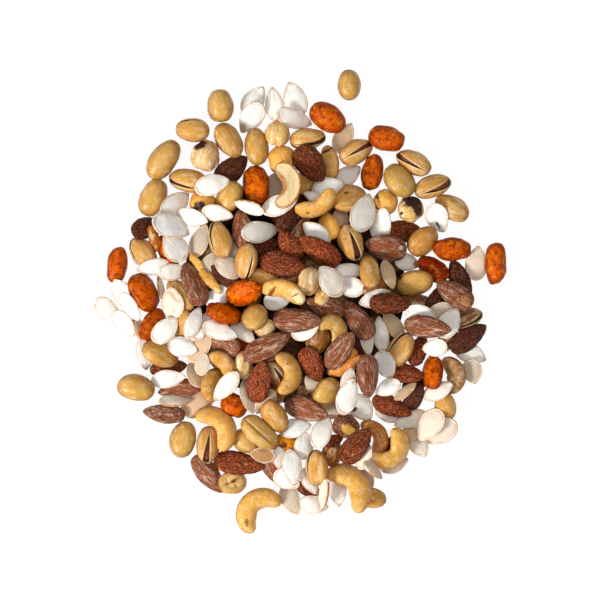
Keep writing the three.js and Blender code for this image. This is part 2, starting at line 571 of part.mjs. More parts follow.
const core = { x: CORE_CENTRE[0], y: CORE_CENTRE[1], z: 0, length: 2 * CORE_HALF_AXES[1] };
core.solid = coreSolid;
const heap = cluster([core], pieces);
let free = pieces.filter((piece) => !heap.has(piece));
while (free.length > 0) {
  const held = [...heap];
  const gapOf = (piece) => Math.min(...held.map((other) => distance(piece, other)));
  const gaps = new Map(free.map((piece) => [piece, gapOf(piece)]));
  const next = free.reduce((a, b) => (gaps.get(b) < gaps.get(a) ? b : a));
  const moving = [...cluster([next], free)];
  drawIn(moving, held);
  for (const piece of cluster(moving, free)) heap.add(piece);
  free = free.filter((piece) => !heap.has(piece));
}

const group = new THREE.Group();
const heapSolids = pieces.map(({ solid }) => solid);
group.add(meshOf("nut_heap", [coreSolid, ...heapSolids], HEAP_COLOUR));
for (const [name, [kind, ...row]] of Object.entries(STRAYS)) {
  const piece = Object.assign(nut(kind, row), { bands: STRAY_BANDS, full: 1, broad: 1 });
  piece.meridians = STRAY_MERIDIANS;
  settle(piece);
  const color = kind === "cashew" ? CASHEW_COLOUR : PEANUT_COLOUR;
  group.add(meshOf(name, [solidOf(nutGeometry(piece))], color));
}

// The whole is moved so that its middle stands over the origin.
const middle = new THREE.Box3().setFromObject(group).getCenter(new THREE.Vector3());
group.position.set(-middle.x, -middle.y, 0);

export default group;
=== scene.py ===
"""A heap of mixed nuts as it lies on a table, seen from straight above.

The heap's parts are placed by the same table of rows, and settled on each other by the same rule,
as the solids. Lengths are in millimetres until the meshes are made, and angles in degrees.
"""

import math
from types import SimpleNamespace

import bpy
import numpy as np
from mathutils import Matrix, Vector


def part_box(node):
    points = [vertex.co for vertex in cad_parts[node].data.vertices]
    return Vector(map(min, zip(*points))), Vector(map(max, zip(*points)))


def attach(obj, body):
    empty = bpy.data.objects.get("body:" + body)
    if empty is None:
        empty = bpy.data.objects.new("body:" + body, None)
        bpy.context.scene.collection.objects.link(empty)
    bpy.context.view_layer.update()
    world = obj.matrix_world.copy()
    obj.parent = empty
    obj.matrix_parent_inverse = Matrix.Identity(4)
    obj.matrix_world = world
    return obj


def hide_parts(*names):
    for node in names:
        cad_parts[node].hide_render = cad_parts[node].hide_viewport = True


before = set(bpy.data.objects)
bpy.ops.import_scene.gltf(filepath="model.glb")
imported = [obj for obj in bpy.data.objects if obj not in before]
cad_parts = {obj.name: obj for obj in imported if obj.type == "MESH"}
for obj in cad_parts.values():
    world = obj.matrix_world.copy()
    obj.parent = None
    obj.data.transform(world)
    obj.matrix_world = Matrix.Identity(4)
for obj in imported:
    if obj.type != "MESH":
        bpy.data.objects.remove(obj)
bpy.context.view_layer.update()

MM = 0.001

# The core: a low mound under the middle of the heap.
CORE_CENTRE = (-3, 6)
CORE_HALF_AXES = (56, 58)
CORE_HEIGHT = 17
CORE_FULLNESS = 0.75  # the power of its profile: below 1 it is domed, at 1 a parabola

# How the nuts rest on each other.
FIELD_PITCH = 1  # spacing of the height field that stands for the top of the heap so far
FIELD_REACH = 130  # the field runs this far from the middle each way
CONTACT_SHARE = 0.92  # a nut touches others within this share of its outline
SINK = 0.9  # a nut runs this far into the nuts it rests on
TABLE_GAP = 0.05  # but stays this far off the table
STEEPEST = 0.45  # the steepest slope at which a nut leans
COARSE_STEP = 0.15
FINE_STEP = 0.05
LEAST_GAIN = 1e-6  # a lean has to bring the nut lower by this much to be taken
TINY = 1e-9  # keeps a divisor off zero

# The form of each kind, as shares of its length and width.
# widest: where it is broadest, from -1 at its blunt end to 1 at its nose.
# nose: the two powers that draw the outline from there to the nose.
# thick: its thickness against its width.
FORMS = {
    "almond": {"widest": -0.2, "nose": (1.9, 0.8), "thick": 0.72},
    "peanut": {"widest": -0.05, "nose": (2, 0.5), "thick": 0.94},
    "chilli_peanut": {"widest": 0, "nose": (2, 0.5), "thick": 0.92},
    "hazelnut": {"widest": -0.1, "nose": (2, 0.6), "thick": 0.94},
    "pistachio": {"widest": -0.1, "nose": (2, 0.6), "thick": 0.92},
    "chip": {"widest": 0, "nose": (2, 0.5), "thick": 0.8},
    "cashew": {},
    "seed": {"widest": -0.12, "nose": (1.8, 0.75)},
}
SEED_THICKNESS = 3.4
EDGE_SEED_THICKNESS = 6.8  # a seed that is seen from its edge stands this high
EDGE_SEED_SHARE = 0.42  # a seed narrower than this share of its length is seen from its edge
SEED_CURVE = 0.5  # the power of a seed's cheeks: lower is flatter
CASHEW_ARM = 0.2  # half the thickness of a cashew's arm, against its length
CASHEW_ARM_OF_DEPTH = 0.42  # but at most this share of its depth
CASHEW_BLUNT = 3.5  # the power of its round ends

# The nuts that show. Each row: layer (0 lies lowest), x, y, heading of the nose anticlockwise from
# +X, length, width, tone. A tone picks the row's colour from its kind's list of tones.
ALMONDS = [
    [0, -34.3, 65.5, 40, 20, 12, 0], [2, 5.3, 68, -52, 21.5, 14, 3], [0, 51, 34, 10, 20, 12, 3],
    [3, 42.8, 26.3, 168, 21.5, 13, 1], [3, 9.6, 24.5, 148, 24, 11.5, 2],
    [2, -5, 27, 125, 17, 10.5, 2], [1, -28.5, 35, 100, 21, 11, 1], [0, -6, 42, 70, 19, 10, 0],
    [0, -77, 36.5, 20, 16, 10.5, 0], [3, -53.2, 8, 115, 23.5, 12, 1], [1, -37, 12, 145, 18, 9, 0],
    [2, -8.6, 17.7, -12, 24, 12, 2], [3, -1.3, -10, -2, 24.5, 12, 1],
    [3, -16.3, -23, 28, 26.5, 11.5, 1], [1, -39.5, -21, 152, 21, 12, 1],
    [1, 12.5, -3.5, 160, 20, 11, 1], [3, 28.6, -9.7, 128, 23.5, 12, 1],
    [2, 45.2, -1.8, -2, 21.5, 10.8, 3], [2, 20, -25, 55, 22, 11.5, 1],
    [3, 6, -32.3, -65, 19, 11.5, 2], [0, 80, 10.5, 110, 21, 10.5, 0], [1, 77.3, 3, 147, 21, 12, 1],
    [0, 70, 1, 55, 19, 10, 0], [3, 63.8, -13.5, -8, 23.8, 11, 1], [1, 84.5, -19, 35, 22, 11, 0],
    [1, 59.5, -25, 70, 17, 9, 3], [0, 28, -24, 80, 18, 10, 0], [0, -66, -34, 8, 19, 8.5, 3],
    [1, -60.5, -44.7, 190, 22.5, 9, 1], [0, -68.4, -57, 174, 21.5, 9.5, 1],
    [3, -20.2, -40.7, 78, 21.5, 12, 2], [1, -30.5, -82, -8, 26, 11.8, 2],
    [0, -46, -87.5, -52, 23.5, 11, 1], [0, -13.5, -85, -62, 16, 10, 1],
    [3, 33.7, -38, -88, 22.3, 11.2, 1], [3, 3.3, -54.8, -17, 23, 12, 1],
    [2, 46.3, -53.5, -22, 21.5, 9.8, 2], [1, 53.5, -37, -8, 18.5, 9.5, 2],
    [1, 57.5, -49, 60, 15, 9, 0], [2, 28, -72.7, 52, 22, 12, 3], [0, 46, -72.5, 60, 12, 7, 0],
    [1, 17, -70.5, 20, 10, 6, 3], [1, 4.5, -95, -20, 13, 7, 3], [0, 58, -42.5, 20, 14, 8, 0],
]

PEANUTS = [
    [1, -21.8, 77, 98, 19, 11.8, 0], [0, -68.6, 70.3, 55, 22, 13.5, 0],
    [0, -73.7, 51.5, 68, 20, 13.5, 0], [1, -35.3, 51.5, 60, 16.5, 12.5, 0],
    [0, 50, 59.7, -50, 19, 14, 0], [1, 61.5, 29.3, 40, 17.5, 13, 2],
    [3, -22.5, -8.3, 60, 14, 12.5, 0], [2, 57, 8.4, 10, 19.3, 12.8, 0],
    [1, 9, -19.5, 70, 14.5, 12.4, 1], [0, 38, 7, 30, 15, 10, 1], [1, -3, 11, 0, 17, 11, 1],
    [0, -82.3, -44, -12, 19.5, 13.3, 0], [0, -58.7, -69.8, 76, 18.3, 13.4, 0],
    [2, 13.2, -46.6, 60, 16.5, 12.6, 0], [0, -27, -70.6, -20, 14, 12.5, 0],
    [1, 16, -77, 75, 14, 10.5, 1], [1, -11, -46, 60, 15, 10, 1], [1, -14, -29.5, 0, 12, 9, 1],
]

CHILLI_PEANUTS = [
    [1, 14, 91.5, -35, 19.5, 13.5, 0], [1, 43.5, 81, -12, 18.5, 12.5, 0],
    [0, 36, 64, 80, 18.8, 11, 0], [2, -22, 57.7, 95, 19.7, 13.9, 0],
    [0, -91.8, 17.7, 82, 18.5, 10.5, 0], [0, -66, 25, 100, 18, 11, 0],
    [1, -78.3, 3.8, 115, 20.5, 13.5, 0], [1, -74, -12.5, 62, 17.5, 11, 0],
    [3, -28, 3.6, 12, 18.8, 12.4, 0], [3, -37.8, -6.9, -17, 18, 10.5, 0],
    [1, 76.5, 25.6, -3, 18.8, 11.8, 0], [0, 98.3, 18.5, 87, 21.5, 11, 0],
    [1, 67, 15.5, -35, 17.5, 10.5, 1], [0, -29, -22, 0, 15, 10, 1],
    [1, -33, -52.8, -25, 14.5, 12, 0], [2, 66.5, -36.5, 83, 17.5, 10.3, 0],
    [0, -6.3, -71.6, -5, 13.5, 9, 2],
]

HAZELNUTS = [
    [0, -47.5, 72.5, 75, 15.5, 14.5, 3], [0, -11.2, 83.5, 90, 13, 12.6, 0],
    [1, -9, 71, 90, 14, 14, 1], [0, -48.5, 49, 0, 13, 12.5, 1], [0, 43, 49.5, 60, 13, 12.5, 1],
    [1, 55.5, 45.5, 20, 13, 12.8, 0], [1, 14, 36.5, 95, 13.5, 11, 1],
    [2, -17.5, -14, 20, 11.5, 9, 3], [2, 4.3, 9.5, 80, 14, 11, 3], [2, 11, 2.2, 240, 9.5, 8, 0],
    [2, -28, -32.3, 80, 14, 8.8, 3], [2, 23.2, -63.2, -15, 14, 12, 2],
]

CHIPS = [
    [1, -73, 31, 105, 13.5, 5.5, 1], [3, -51.8, 18.5, -50, 10, 4.5, 0],
    [3, -44.8, 9.5, -47, 15, 5.5, 0],
]

SEEDS = [
    [0, -23.2, 100.3, 55, 17, 11, 0], [1, -24.5, 91.5, 235, 18, 11.5, 0],
    [0, -13, 98.5, 97, 17.5, 9.5, 0], [0, -2.6, 101, 108, 18.5, 12, 0],
    [1, -2.8, 91, -18, 19, 10, 0], [0, 22, 81.5, 62, 17, 10, 2], [2, -44, 57.7, 15, 18.5, 11, 0],
    [0, -13, 58, 60, 17, 10, 3], [1, -10, 47.5, 20, 19.5, 10.5, 0], [1, 14, 56.5, 12, 17, 10, 0],
    [0, 24, 62.5, 35, 16, 10, 0], [1, 8, 50.5, 155, 15, 6, 0], [1, 69, 41, -65, 15.5, 11.5, 0],
    [3, 31.7, 43.5, 72, 20.5, 13, 0], [2, 40.5, 38, 80, 18, 11, 0], [1, 8, 33, 140, 17, 10, 0],
    [3, -20, 34, 8, 19, 11.3, 0], [2, -25.5, 46.3, 160, 17, 6, 0],
    [1, -41.3, 43.3, -12, 16.5, 8.5, 0], [2, -54, 41.3, -15, 17, 9, 0],
    [1, -50.3, 29.8, 68, 18.5, 9.5, 3], [2, -64.5, 37, -25, 20, 12.5, 0],
    [1, -62.8, 26.5, 125, 17, 12.3, 0], [0, -62.5, 48, 40, 17.5, 11, 0],
    [1, -73.5, 16.5, 190, 17, 8.5, 0], [2, -63, 14, 5, 17, 8.5, 0], [0, -89.5, 4, 120, 15, 10.5, 0],
    [1, -84.8, -3.6, -60, 17, 7.5, 0], [0, -96.8, -5, -40, 16.5, 10, 0],
    [1, -88.3, -12, -50, 16.5, 9, 0], [0, -81, -14, 110, 15, 5, 1],
    [2, -63.8, -1.2, 100, 16.5, 11.7, 1], [2, -67.3, -15, 45, 17.5, 11, 0],
    [0, -70, 6.5, 100, 13.5, 3.5, 1], [0, -78, -27, -85, 17, 9, 0],
    [2, -58.8, -23.5, -15, 16.5, 10.5, 0], [1, -50, -24, 50, 18, 10, 2],
    [2, -36, 16.5, 150, 16.5, 10.5, 1], [0, -45, 18, 60, 15, 9, 3], [0, -34, 24, 80, 16, 9, 3],
    [1, -41, 1.8, 215, 15, 10, 0], [1, -11, 0, 15, 15, 10, 0], [2, -40, -15.3, -20, 19, 9.5, 0],
    [1, -28.3, -16, -40, 15.5, 8, 0], [2, -53.2, -11.3, 68, 17.5, 8.3, 0],
    [1, -49, -13, 65, 16, 8, 0], [2, -48.5, -32, 75, 12, 7.5, 3], [1, -52, -37.5, 125, 14, 10, 2],
    [3, 15.3, 9.5, 128, 18.5, 12.5, 0], [2, 24.5, 6.7, 165, 16, 10.5, 0],
    [1, 25, 14.5, 0, 17, 8, 0], [1, 44.3, 12.6, -72, 15.5, 7, 2], [1, 37.5, 0.5, 195, 17.5, 9.5, 0],
    [1, 2.5, -15, 20, 15, 10, 0], [1, 33.5, -20.5, -82, 15, 7.2, 1],
    [2, 40.5, -17, 98, 18.5, 8.2, 0], [1, 46.8, -12.5, 125, 17, 8.5, 2],
    [1, 88.8, 18.5, 85, 17.8, 11.4, 1], [2, 53.8, 19, -15, 13.5, 9, 0],
    [2, 61, -7.5, -15, 17, 10, 0], [0, 70.5, -6.5, 190, 16, 11, 3],
    [1, 74.5, -11.5, 60, 17.5, 11.5, 0], [0, 85.5, -26.5, -25, 18, 10.5, 0],
    [1, 67.5, -24, 185, 13.2, 9.3, 0], [2, -66, -39.5, 8, 17.5, 9.5, 0],
    [1, -62.5, -50.5, 0, 17, 5.8, 1], [0, -50.8, -51.5, 35, 20, 13, 2],
    [3, -37, -43.3, 230, 19, 9.5, 0], [1, -25.3, -48, -80, 18.5, 9.5, 3],
    [1, -17.5, -51, 233, 15, 9, 2], [2, -19, -77.7, 172, 13.5, 8, 4], [2, -4, -84, -82, 19, 10, 0],
    [1, -9.3, -79.5, 115, 14, 9, 0], [1, -6.5, -90, -30, 15, 11, 0],
    [0, -4.7, -100.5, -65, 17, 10, 3], [2, 24.2, -39.8, 75, 13, 8, 1],
    [3, 23.7, -48, 74, 20, 10.7, 0], [2, 42.7, -32.6, -62, 15.5, 11, 0],
    [2, 44, -44, 205, 14, 8.5, 0], [3, 52.8, -45.8, 38, 14, 4.6, 2], [1, 7.5, -43.5, 130, 15, 9, 3],
    [1, 17, -55, 20, 14, 9, 3], [2, 30.8, -54.3, -52, 15.5, 12, 0], [1, 55.5, -60, 200, 17.5, 9, 1],
    [0, 45, -57.5, -20, 16, 8.5, 0], [0, 86.5, -36, -75, 13, 10.5, 3],
    [1, 69.5, -45.5, 28, 16.5, 9, 0], [2, 65, -62.8, 235, 19.5, 12.3, 1],
    [0, 71.3, -66.3, 220, 17.5, 12.3, 1], [0, 59.7, -73, -60, 14, 10, 1], [0, 56, -67, 0, 10, 8, 2],
    [1, 1.8, -73, 85, 14.5, 10, 0], [2, 11, -66, 66, 17.5, 10.5, 0],
    [1, -2.5, -64.2, 12, 17, 9.6, 0], [1, 18.8, -95.8, -84, 16.5, 9.5, 0],
    [2, 12, -97.3, -96, 16, 5, 1], [0, 7, -103, -10, 15, 9.5, 0], [1, 5, -91, -62, 15, 8, 0],
    [1, 32.3, -78.5, 68, 14, 7.5, 1], [1, 36.5, -84.8, -45, 13, 5.2, 3],
    [0, 32.8, -88.3, -55, 14, 8, 3], [0, 47.5, -82.5, 20, 15, 9, 3], [0, 20, 40, 80, 16, 9, 2],
]

# A cashew's heading is the way its back faces. Its length is the span across its two ends and
# its width the depth of the crescent.
CASHEWS = [
    [1, 15.6, 69, 10, 18, 8, 3], [2, -6, 57, 0, 24, 13.5, 1], [3, 8.5, 47, -63, 22.5, 11.5, 0],
    [3, -8, 4.5, 73, 23, 11, 0], [2, -38.5, -31, 48, 17, 10, 6], [1, 17, -14, 45, 17, 12, 3],
    [2, -44.5, -42, 165, 18, 10, 6], [3, -5.5, -36.3, 5, 22.5, 12.8, 0],
    [1, -40.5, -62.8, 38, 26, 15, 0], [0, -33.8, -91.7, 270, 13.5, 11, 5],
    [1, 21.5, -32, -45, 19, 9, 2], [1, 28, -31.3, 120, 12, 7.5, 2],
    [1, 38.2, -68.3, 22, 20, 11.5, 2], [1, 77.8, -37.5, 12, 19.5, 11.2, 4],
    [1, 46, -76, -42, 25, 15.5, 0], [2, 26, -92.4, 40, 28, 16, 0],
]

# A pistachio's heading is that of its mouth. Its row ends with the place of the slit, from -1 at
# the right edge over 0 on top to 1 at the left edge, and how wide it gapes.
PISTACHIOS = [
    [0, -54, 85.2, 175, 17.6, 12.2, 0, -0.85, 1], [1, -35.7, 80, -58, 19, 12.5, 0, 0.95, 1],
    [1, 3.9, 81, 5, 18, 11, 0, -0.6, 1.3], [1, 28.2, 74.3, 30, 18, 12, 0, 0, 1],
    [1, 57, 69, 152, 18.5, 11.5, 0, 0.25, 1], [0, -56.5, 60, 170, 19, 12, 0, 0.6, 1],
    [1, 24.5, 51, 10, 18.5, 14, 0, 0, 0], [1, 66.7, 57.2, 18, 19.5, 11.5, 0, -0.45, 1.5],
    [1, 76.2, 46.3, 150, 18.5, 12, 0, 0.9, 1], [2, 25.3, 28.7, -68, 19, 12.5, 0, 0.25, 1.5],
    [0, -1, 35, 60, 17, 11, 2, 0.5, 1], [2, -40, 30, 105, 19, 12, 0, 0.75, 1],
    [0, -79, 24, 125, 17, 12, 0, 0.85, 1], [1, -70, -27, -28, 19, 12.5, 1, 0, 0],
    [3, -26.8, 19.2, -95, 18.3, 11.4, 0, 0.5, 0.6], [3, 34.6, 14.1, 97, 17.3, 10.2, 0, 0, 0],
    [2, 50.3, -24.8, 60, 19, 12.5, 0, 0.75, 1], [0, 83, -9.5, 20, 18, 11, 2, -0.6, 1],
    [1, -60, 2, 125, 19, 12, 0, 0, 0], [1, -58.5, -12.5, 80, 16, 9, 0, 0, 0],
    [1, -18.5, 11, 0, 18, 10, 0, 0, 0], [0, 58, -1, 0, 17, 8, 2, 0, 0],
    [0, 74, -19.5, 60, 14, 9, 2, 0, 0], [1, -12, -37, -55, 14, 9.5, 2, 0.3, 1.2],
    [2, -12.5, -58.3, -57, 18.5, 12, 0, 0, 0], [2, -20, -66.4, -42, 22.8, 12.5, 3, 0, 0],
    [1, -46, -72.5, 263, 19, 12.3, 1, 0, 1.4], [0, 72.8, -52.8, 100, 15.5, 11, 0, 0.9, 0.8],
    [2, 8.3, -83.8, 95, 18, 11.7, 1, 0.8, 1], [0, 36.7, -99.5, -10, 13.5, 10.5, 1, 0.5, 0],
]

# Marks that single nuts bear, such as a rest of dark skin, a bare spot or a crack. Each row: the
# nut's own x and y, the mark's x, y, length, width and heading, its colour, and how deep it is
# pressed in.
MARKS = [
    [-47.5, 72.5, -50, 77.6, 7, 4.6, 20, "#3c1e16", -0.2],
    [-24.5, 91.5, -29.3, 86.5, 4, 5, 55, "#b89c80", 0],
    [-48.5, 49, -50.3, 47, 6.5, 4.5, 10, "#341614", -0.2],
    [5.3, 68, 5.7, 73.7, 2, 1.5, -30, "#c07a3c", 0.2],
    [8.5, 47, 3.9, 43.1, 1.4, 1.4, 0, "#8a4a1c", 0.2],
    [15.6, 69, 13.4, 75, 6, 1.4, 25, "#6a3c14", 0.8],
    [24.5, 51, 23.2, 53.6, 2.2, 1.4, 10, "#38221a", 0.6],
    [43, 49.5, 38.2, 52.5, 4, 2, 120, "#33160e", 0.5],
    [43, 49.5, 39.4, 48.6, 2, 5, 20, "#a8661c", 0.1],
    [43, 49.5, 43.7, 54.8, 3.4, 2, 0, "#e6cda6", -0.1],
    [55.5, 45.5, 56.4, 49.3, 11, 6.6, -8, "#38201c", -0.25],
    [55.5, 45.5, 59.2, 44.4, 4.4, 5.4, 10, "#42241c", -0.25],
    [55.5, 45.5, 50.8, 43.4, 2, 1.6, 0, "#38201c", 0],
    [69, 41, 69.2, 37.5, 5, 1.1, -62, "#3c4a1a", 0.4],
    [76.2, 46.3, 76, 50, 2.4, 1.6, -30, "#c8873a", 0],
    [25.3, 28.7, 22.6, 36, 2.6, 2.6, 0, "#dcae8a", -0.4],
    [25.3, 28.7, 22.3, 30.3, 1.6, 1.2, 0, "#b8702c", 0],
    [42.8, 26.3, 50.6, 26, 2.6, 2.4, 0, "#e8dcd0", -0.1],
    [57, 8.4, 49.9, 11.2, 2.4, 1.5, 30, "#5a3414", 0.4],
    [53.8, 19, 58.8, 18.2, 3.4, 4, -15, "#b07c50", 0.1],
    [77.3, 3, 82.4, -0.4, 5.5, 6, 0, "#bb8450", 0.1],
    [-63.8, -1.2, -64.4, 3, 2, 5.5, 40, "#d6bb90", 0.1],
    [-63.8, -1.2, -62.4, 0.6, 6, 1.4, -40, "#d6bb90", 0.1],
    [-63.8, -1.2, -63.4, -5, 2, 1.6, 0, "#cfae7e", 0.1],
    [-6, 57, -4.4, 57.5, 15, 3, 88, "#e6cb94", 0.2],
    [-8, 4.5, -14.2, 3.4, 6.4, 2, 58, "#8f4c16", 1.4],
    [-8, 4.5, -0.4, 1.2, 10, 5.2, -40, "#f0d8a6", 0.4],
    [-8, 4.5, -2.4, 2.4, 5, 0.9, 28, "#a8691c", 0.4],
    [-5.5, -36.3, -6.1, -31.6, 1.2, 1.2, 0, "#5a3414", 0.3],
    [-5.5, -36.3, -1.6, -29, 5, 1, -52, "#6a4018", 0.4],
    [-33, -52.8, -31.6, -53, 2, 1.6, 0, "#8e2c06", 0.2],
    [-6.3, -71.6, -8.3, -73, 4.5, 3, 20, "#6a3428", 0.1],
    [30.8, -54.3, 27.3, -54.9, 2.1, 3, -20, "#5a1010", 0.4],
    [23.7, -48, 26.4, -40.8, 1.8, 1.2, 0, "#b88a58", 0.1],
    [23.2, -63.2, 24.4, -65.2, 8, 4.6, -30, "#d6a248", 0.3],
    [28, -72.7, 26.3, -77, 3, 1.6, 50, "#b0703a", 0.1],
    [-30.5, -82, -27.2, -82.2, 2.6, 1.8, 0, "#c98a44", 0.1],
    [-30.5, -82, -41, -85.2, 5.5, 1.8, -25, "#c9822c", 0],
    [-33.8, -91.7, -33.4, -91.2, 8, 6.6, 0, "#f0c680", 0.5],
    [-33.8, -91.7, -31.4, -89.8, 4, 0.8, 40, "#b0742c", 0.4],
    [-33.8, -91.7, -35.8, -92, 3.4, 0.8, 12, "#b0742c", 0.4],
    [-33.8, -91.7, -32.3, -93, 3.6, 0.8, -62, "#b0742c", 0.4],
    [-33.8, -91.7, -33.1, -90.8, 2.6, 1.6, 40, "#6e3a12", 1],
    [-19, -77.7, -18.7, -75.4, 3.4, 1.6, 0, "#9a6a3c", 0.1],
    [-22.3, -103.9, -26.4, -111.4, 1.6, 3.4, 0, "#86663a", 0.6],
]

HEAP = {
    "hazelnut": HAZELNUTS,
    "peanut": PEANUTS,
    "chilli_peanut": CHILLI_PEANUTS,
    "pistachio": PISTACHIOS,
    "almond": ALMONDS,
    "cashew": CASHEWS,
    "chip": CHIPS,
    "seed": SEEDS,
}
LAYERS = (0, 1, 2, 3)

# The nuts that lie beside the heap.
STRAYS = {
    "stray_peanut_back": ("peanut", [0, 24.7, 108, 90, 16, 11.6, 0]),
    "stray_peanut_left": ("peanut", [0, -40, 97.5, 97, 17, 13.5, 0]),
    "stray_cashew_front": ("cashew", [0, -22.3, -103.9, 135, 27, 16.5, 0]),
}

RANDOM_SEED = 11
rng = np.random.default_rng(RANDOM_SEED)


# ---- how the nuts lie -------------------------------------------------------------------------


def breadth(form, s):
    """Half the width at s along the length, as a share of the greatest."""
    widest, (first, second) = form["widest"], form["nose"]
    s = np.asarray(s, dtype=float)
    back = (widest - s) / (1 + widest)
    front = np.clip((s - widest) / (1 - widest), 0, None)
    blunt = np.sqrt(np.clip(1 - back * back, 0, None))
    nose = np.clip(1 - front**first, 0, None) ** second
    return np.where(s <= widest, blunt, nose)


def crescent(length, depth):
    """The bent centre line of a cashew: half its thickness, its radius, the half-angle it spans and
    how far its middle lies from the middle of the crescent."""
    arm = min(CASHEW_ARM * length, CASHEW_ARM_OF_DEPTH * depth)
    half = 2 * math.atan((depth - 2 * arm) / (length / 2 - arm))
    bend = (length / 2 - arm) / math.sin(half)
    return arm, bend, half + arm / bend, bend * (1 + math.cos(half)) / 2


def is_on_edge(length, width):
    return width < EDGE_SEED_SHARE * length


class Nut:
    """One row of a table, and how it has settled."""

    def __init__(self, kind, row):
        _, self.x, self.y, heading, self.length, self.width, self.tone, *self.extras = row
        self.kind = kind
        self.form = FORMS[kind]
        self.cos = math.cos(math.radians(heading))
        self.sin = math.sin(math.radians(heading))
        self.curve = crescent(self.length, self.width) if kind == "cashew" else None
        self.is_deep = False
        if kind == "seed":
            on_edge = is_on_edge(self.length, self.width)
            self.half = (EDGE_SEED_THICKNESS if on_edge else SEED_THICKNESS) / 2
        else:
            self.half = self.form.get("thick", 0) * self.width / 2

    def half_thickness(self, along, across):
        """Half the thickness at points of the nut's plan, or 0 outside the part that touches."""
        if self.curve:
            arm, bend, reach, middle = self.curve
            turned = np.abs(np.arctan2(across, along + middle)) / reach
            radius = arm * np.sqrt(np.clip(1 - turned**CASHEW_BLUNT, TINY, None))
            off = (np.hypot(across, along + middle) - bend) / radius
            touches = (turned < CONTACT_SHARE) & (np.abs(off) < CONTACT_SHARE)
            return np.where(touches, radius * np.sqrt(np.clip(1 - off * off, 0, None)), 0)
        s = along / (self.length / 2)
        share = np.clip(breadth(self.form, s), TINY, None)
        off = across / (self.width / 2 * share)
        touches = (np.abs(s) < CONTACT_SHARE) & (np.abs(off) < CONTACT_SHARE)
        cheek = share * np.sqrt(np.clip(1 - off * off, 0, None))
        if self.kind == "seed":
            cheek = cheek**SEED_CURVE
        return np.where(touches, self.half * cheek, 0)


class Field:
    """The top of the heap so far, and of the core alone, as heights over a square grid."""

    def __init__(self):
        places = np.arange(-FIELD_REACH, FIELD_REACH + FIELD_PITCH, FIELD_PITCH, dtype=float)
        self.y, self.x = np.meshgrid(places, places, indexing="ij")
        out = ((self.x - CORE_CENTRE[0]) / CORE_HALF_AXES[0]) ** 2
        out += ((self.y - CORE_CENTRE[1]) / CORE_HALF_AXES[1]) ** 2
        self.core = CORE_HEIGHT * np.clip(1 - out, 0, None) ** CORE_FULLNESS
        self.top = self.core.copy()

    def settle(self, nut):
        """Lowers a nut onto the heap at the lean that brings it lowest, and adds it to the heap."""
        dx, dy = self.x - nut.x, self.y - nut.y
        reach = max(nut.length, nut.width) / 2 + FIELD_PITCH
        near = (np.abs(dx) <= reach + FIELD_PITCH) & (np.abs(dy) <= reach + FIELD_PITCH)
        dx, dy = dx[near], dy[near]
        along, across = dx * nut.cos + dy * nut.sin, dy * nut.cos - dx * nut.sin
        half = nut.half_thickness(along, across)
        cells = half > 0
        along, across, half = along[cells], across[cells], half[cells]
        index = np.flatnonzero(near)[cells]
        under = self.top.flat[index]

        def height_at(pitch, roll, under):
            return float(np.max(under + half - pitch * along - roll * across))

        best = (height_at(0, 0, under), 0, 0)
        for step, span in ((COARSE_STEP, STEEPEST), (FINE_STEP, COARSE_STEP)):
            _, pitch_from, roll_from = best
            count = round(2 * span / step)
            for i in range(count + 1):
                for j in range(count + 1):
                    pitch, roll = pitch_from - span + i * step, roll_from - span + j * step
                    if max(abs(pitch), abs(roll)) > STEEPEST + step / 2:
                        continue
                    height = height_at(pitch, roll, under)
                    if height < best[0] - LEAST_GAIN:
                        best = (height, pitch, roll)
        height, nut.pitch, nut.roll = best
        lowest = height_at(nut.pitch, nut.roll, 0) + TABLE_GAP
        nut.z = max(height - SINK, lowest)
        top = nut.z + half + nut.pitch * along + nut.roll * across
        self.top.flat[index] = np.maximum(under, top)


GAP_PITCH = 4  # how far apart the places are that are tried for a nut deep in a gap
GAP_REACH = 3.5  # a gap is looked at this far round each of them
GAP_OPEN = 0.55  # and is filled where at least this share of it is open
BARE = 0.01  # it is open where less than this lies on the core
THIN_CORE = 1  # and the core is higher than this
DEEP_STANDS = 2.2  # how far a nut in a gap stands out of the core
DEEP_APART = 8
# The nuts in the gaps, by turns: kind, length, width, tone.
DEEP_KINDS = (
    ("peanut", 15, 11, 1), ("almond", 20, 11, 0), ("pistachio", 17, 11, 2), ("almond", 20, 11, 3),
    ("hazelnut", 13, 12, 1), ("peanut", 16, 12, 2),
)


def nuts_in_gaps(field):
    """Nuts half sunk in the core, wherever nothing else covers it."""
    found = []
    reach = round(GAP_REACH / FIELD_PITCH)
    for row in range(reach, len(field.y) - reach, GAP_PITCH):
        for column in range(reach, len(field.x) - reach, GAP_PITCH):
            window = np.s_[row - reach : row + reach + 1, column - reach : column + reach + 1]
            core = field.core[window]
            is_open = (field.top[window] - core < BARE) & (core > THIN_CORE)
            x, y = field.x[row, column], field.y[row, column]
            near = any(math.hypot(x - nut.x, y - nut.y) < DEEP_APART for nut in found)
            if is_open.mean() < GAP_OPEN or near:
                continue
            kind, length, width, tone = DEEP_KINDS[len(found) % len(DEEP_KINDS)]
            extras = (0, 0) if kind == "pistachio" else ()
            nut = Nut(kind, [0, x, y, rng.uniform(0, 360), length, width, tone, *extras])
            nut.is_deep = True
            nut.pitch = nut.roll = 0
            nut.z = field.core[row, column] + DEEP_STANDS - nut.half
            found.append(nut)
    return found


def settle_all():
    """The heap's nuts, and the nuts beside it by name."""
    field = Field()
    heap = []
    for layer in LAYERS:
        for kind, rows in HEAP.items():
            heap += [Nut(kind, row) for row in rows if row[0] == layer]
    strays = {name: Nut(kind, row) for name, (kind, row) in STRAYS.items()}
    for nut in [*heap, *strays.values()]:
        field.settle(nut)
    return heap + nuts_in_gaps(field), strays


# ---- skins ------------------------------------------------------------------------------------

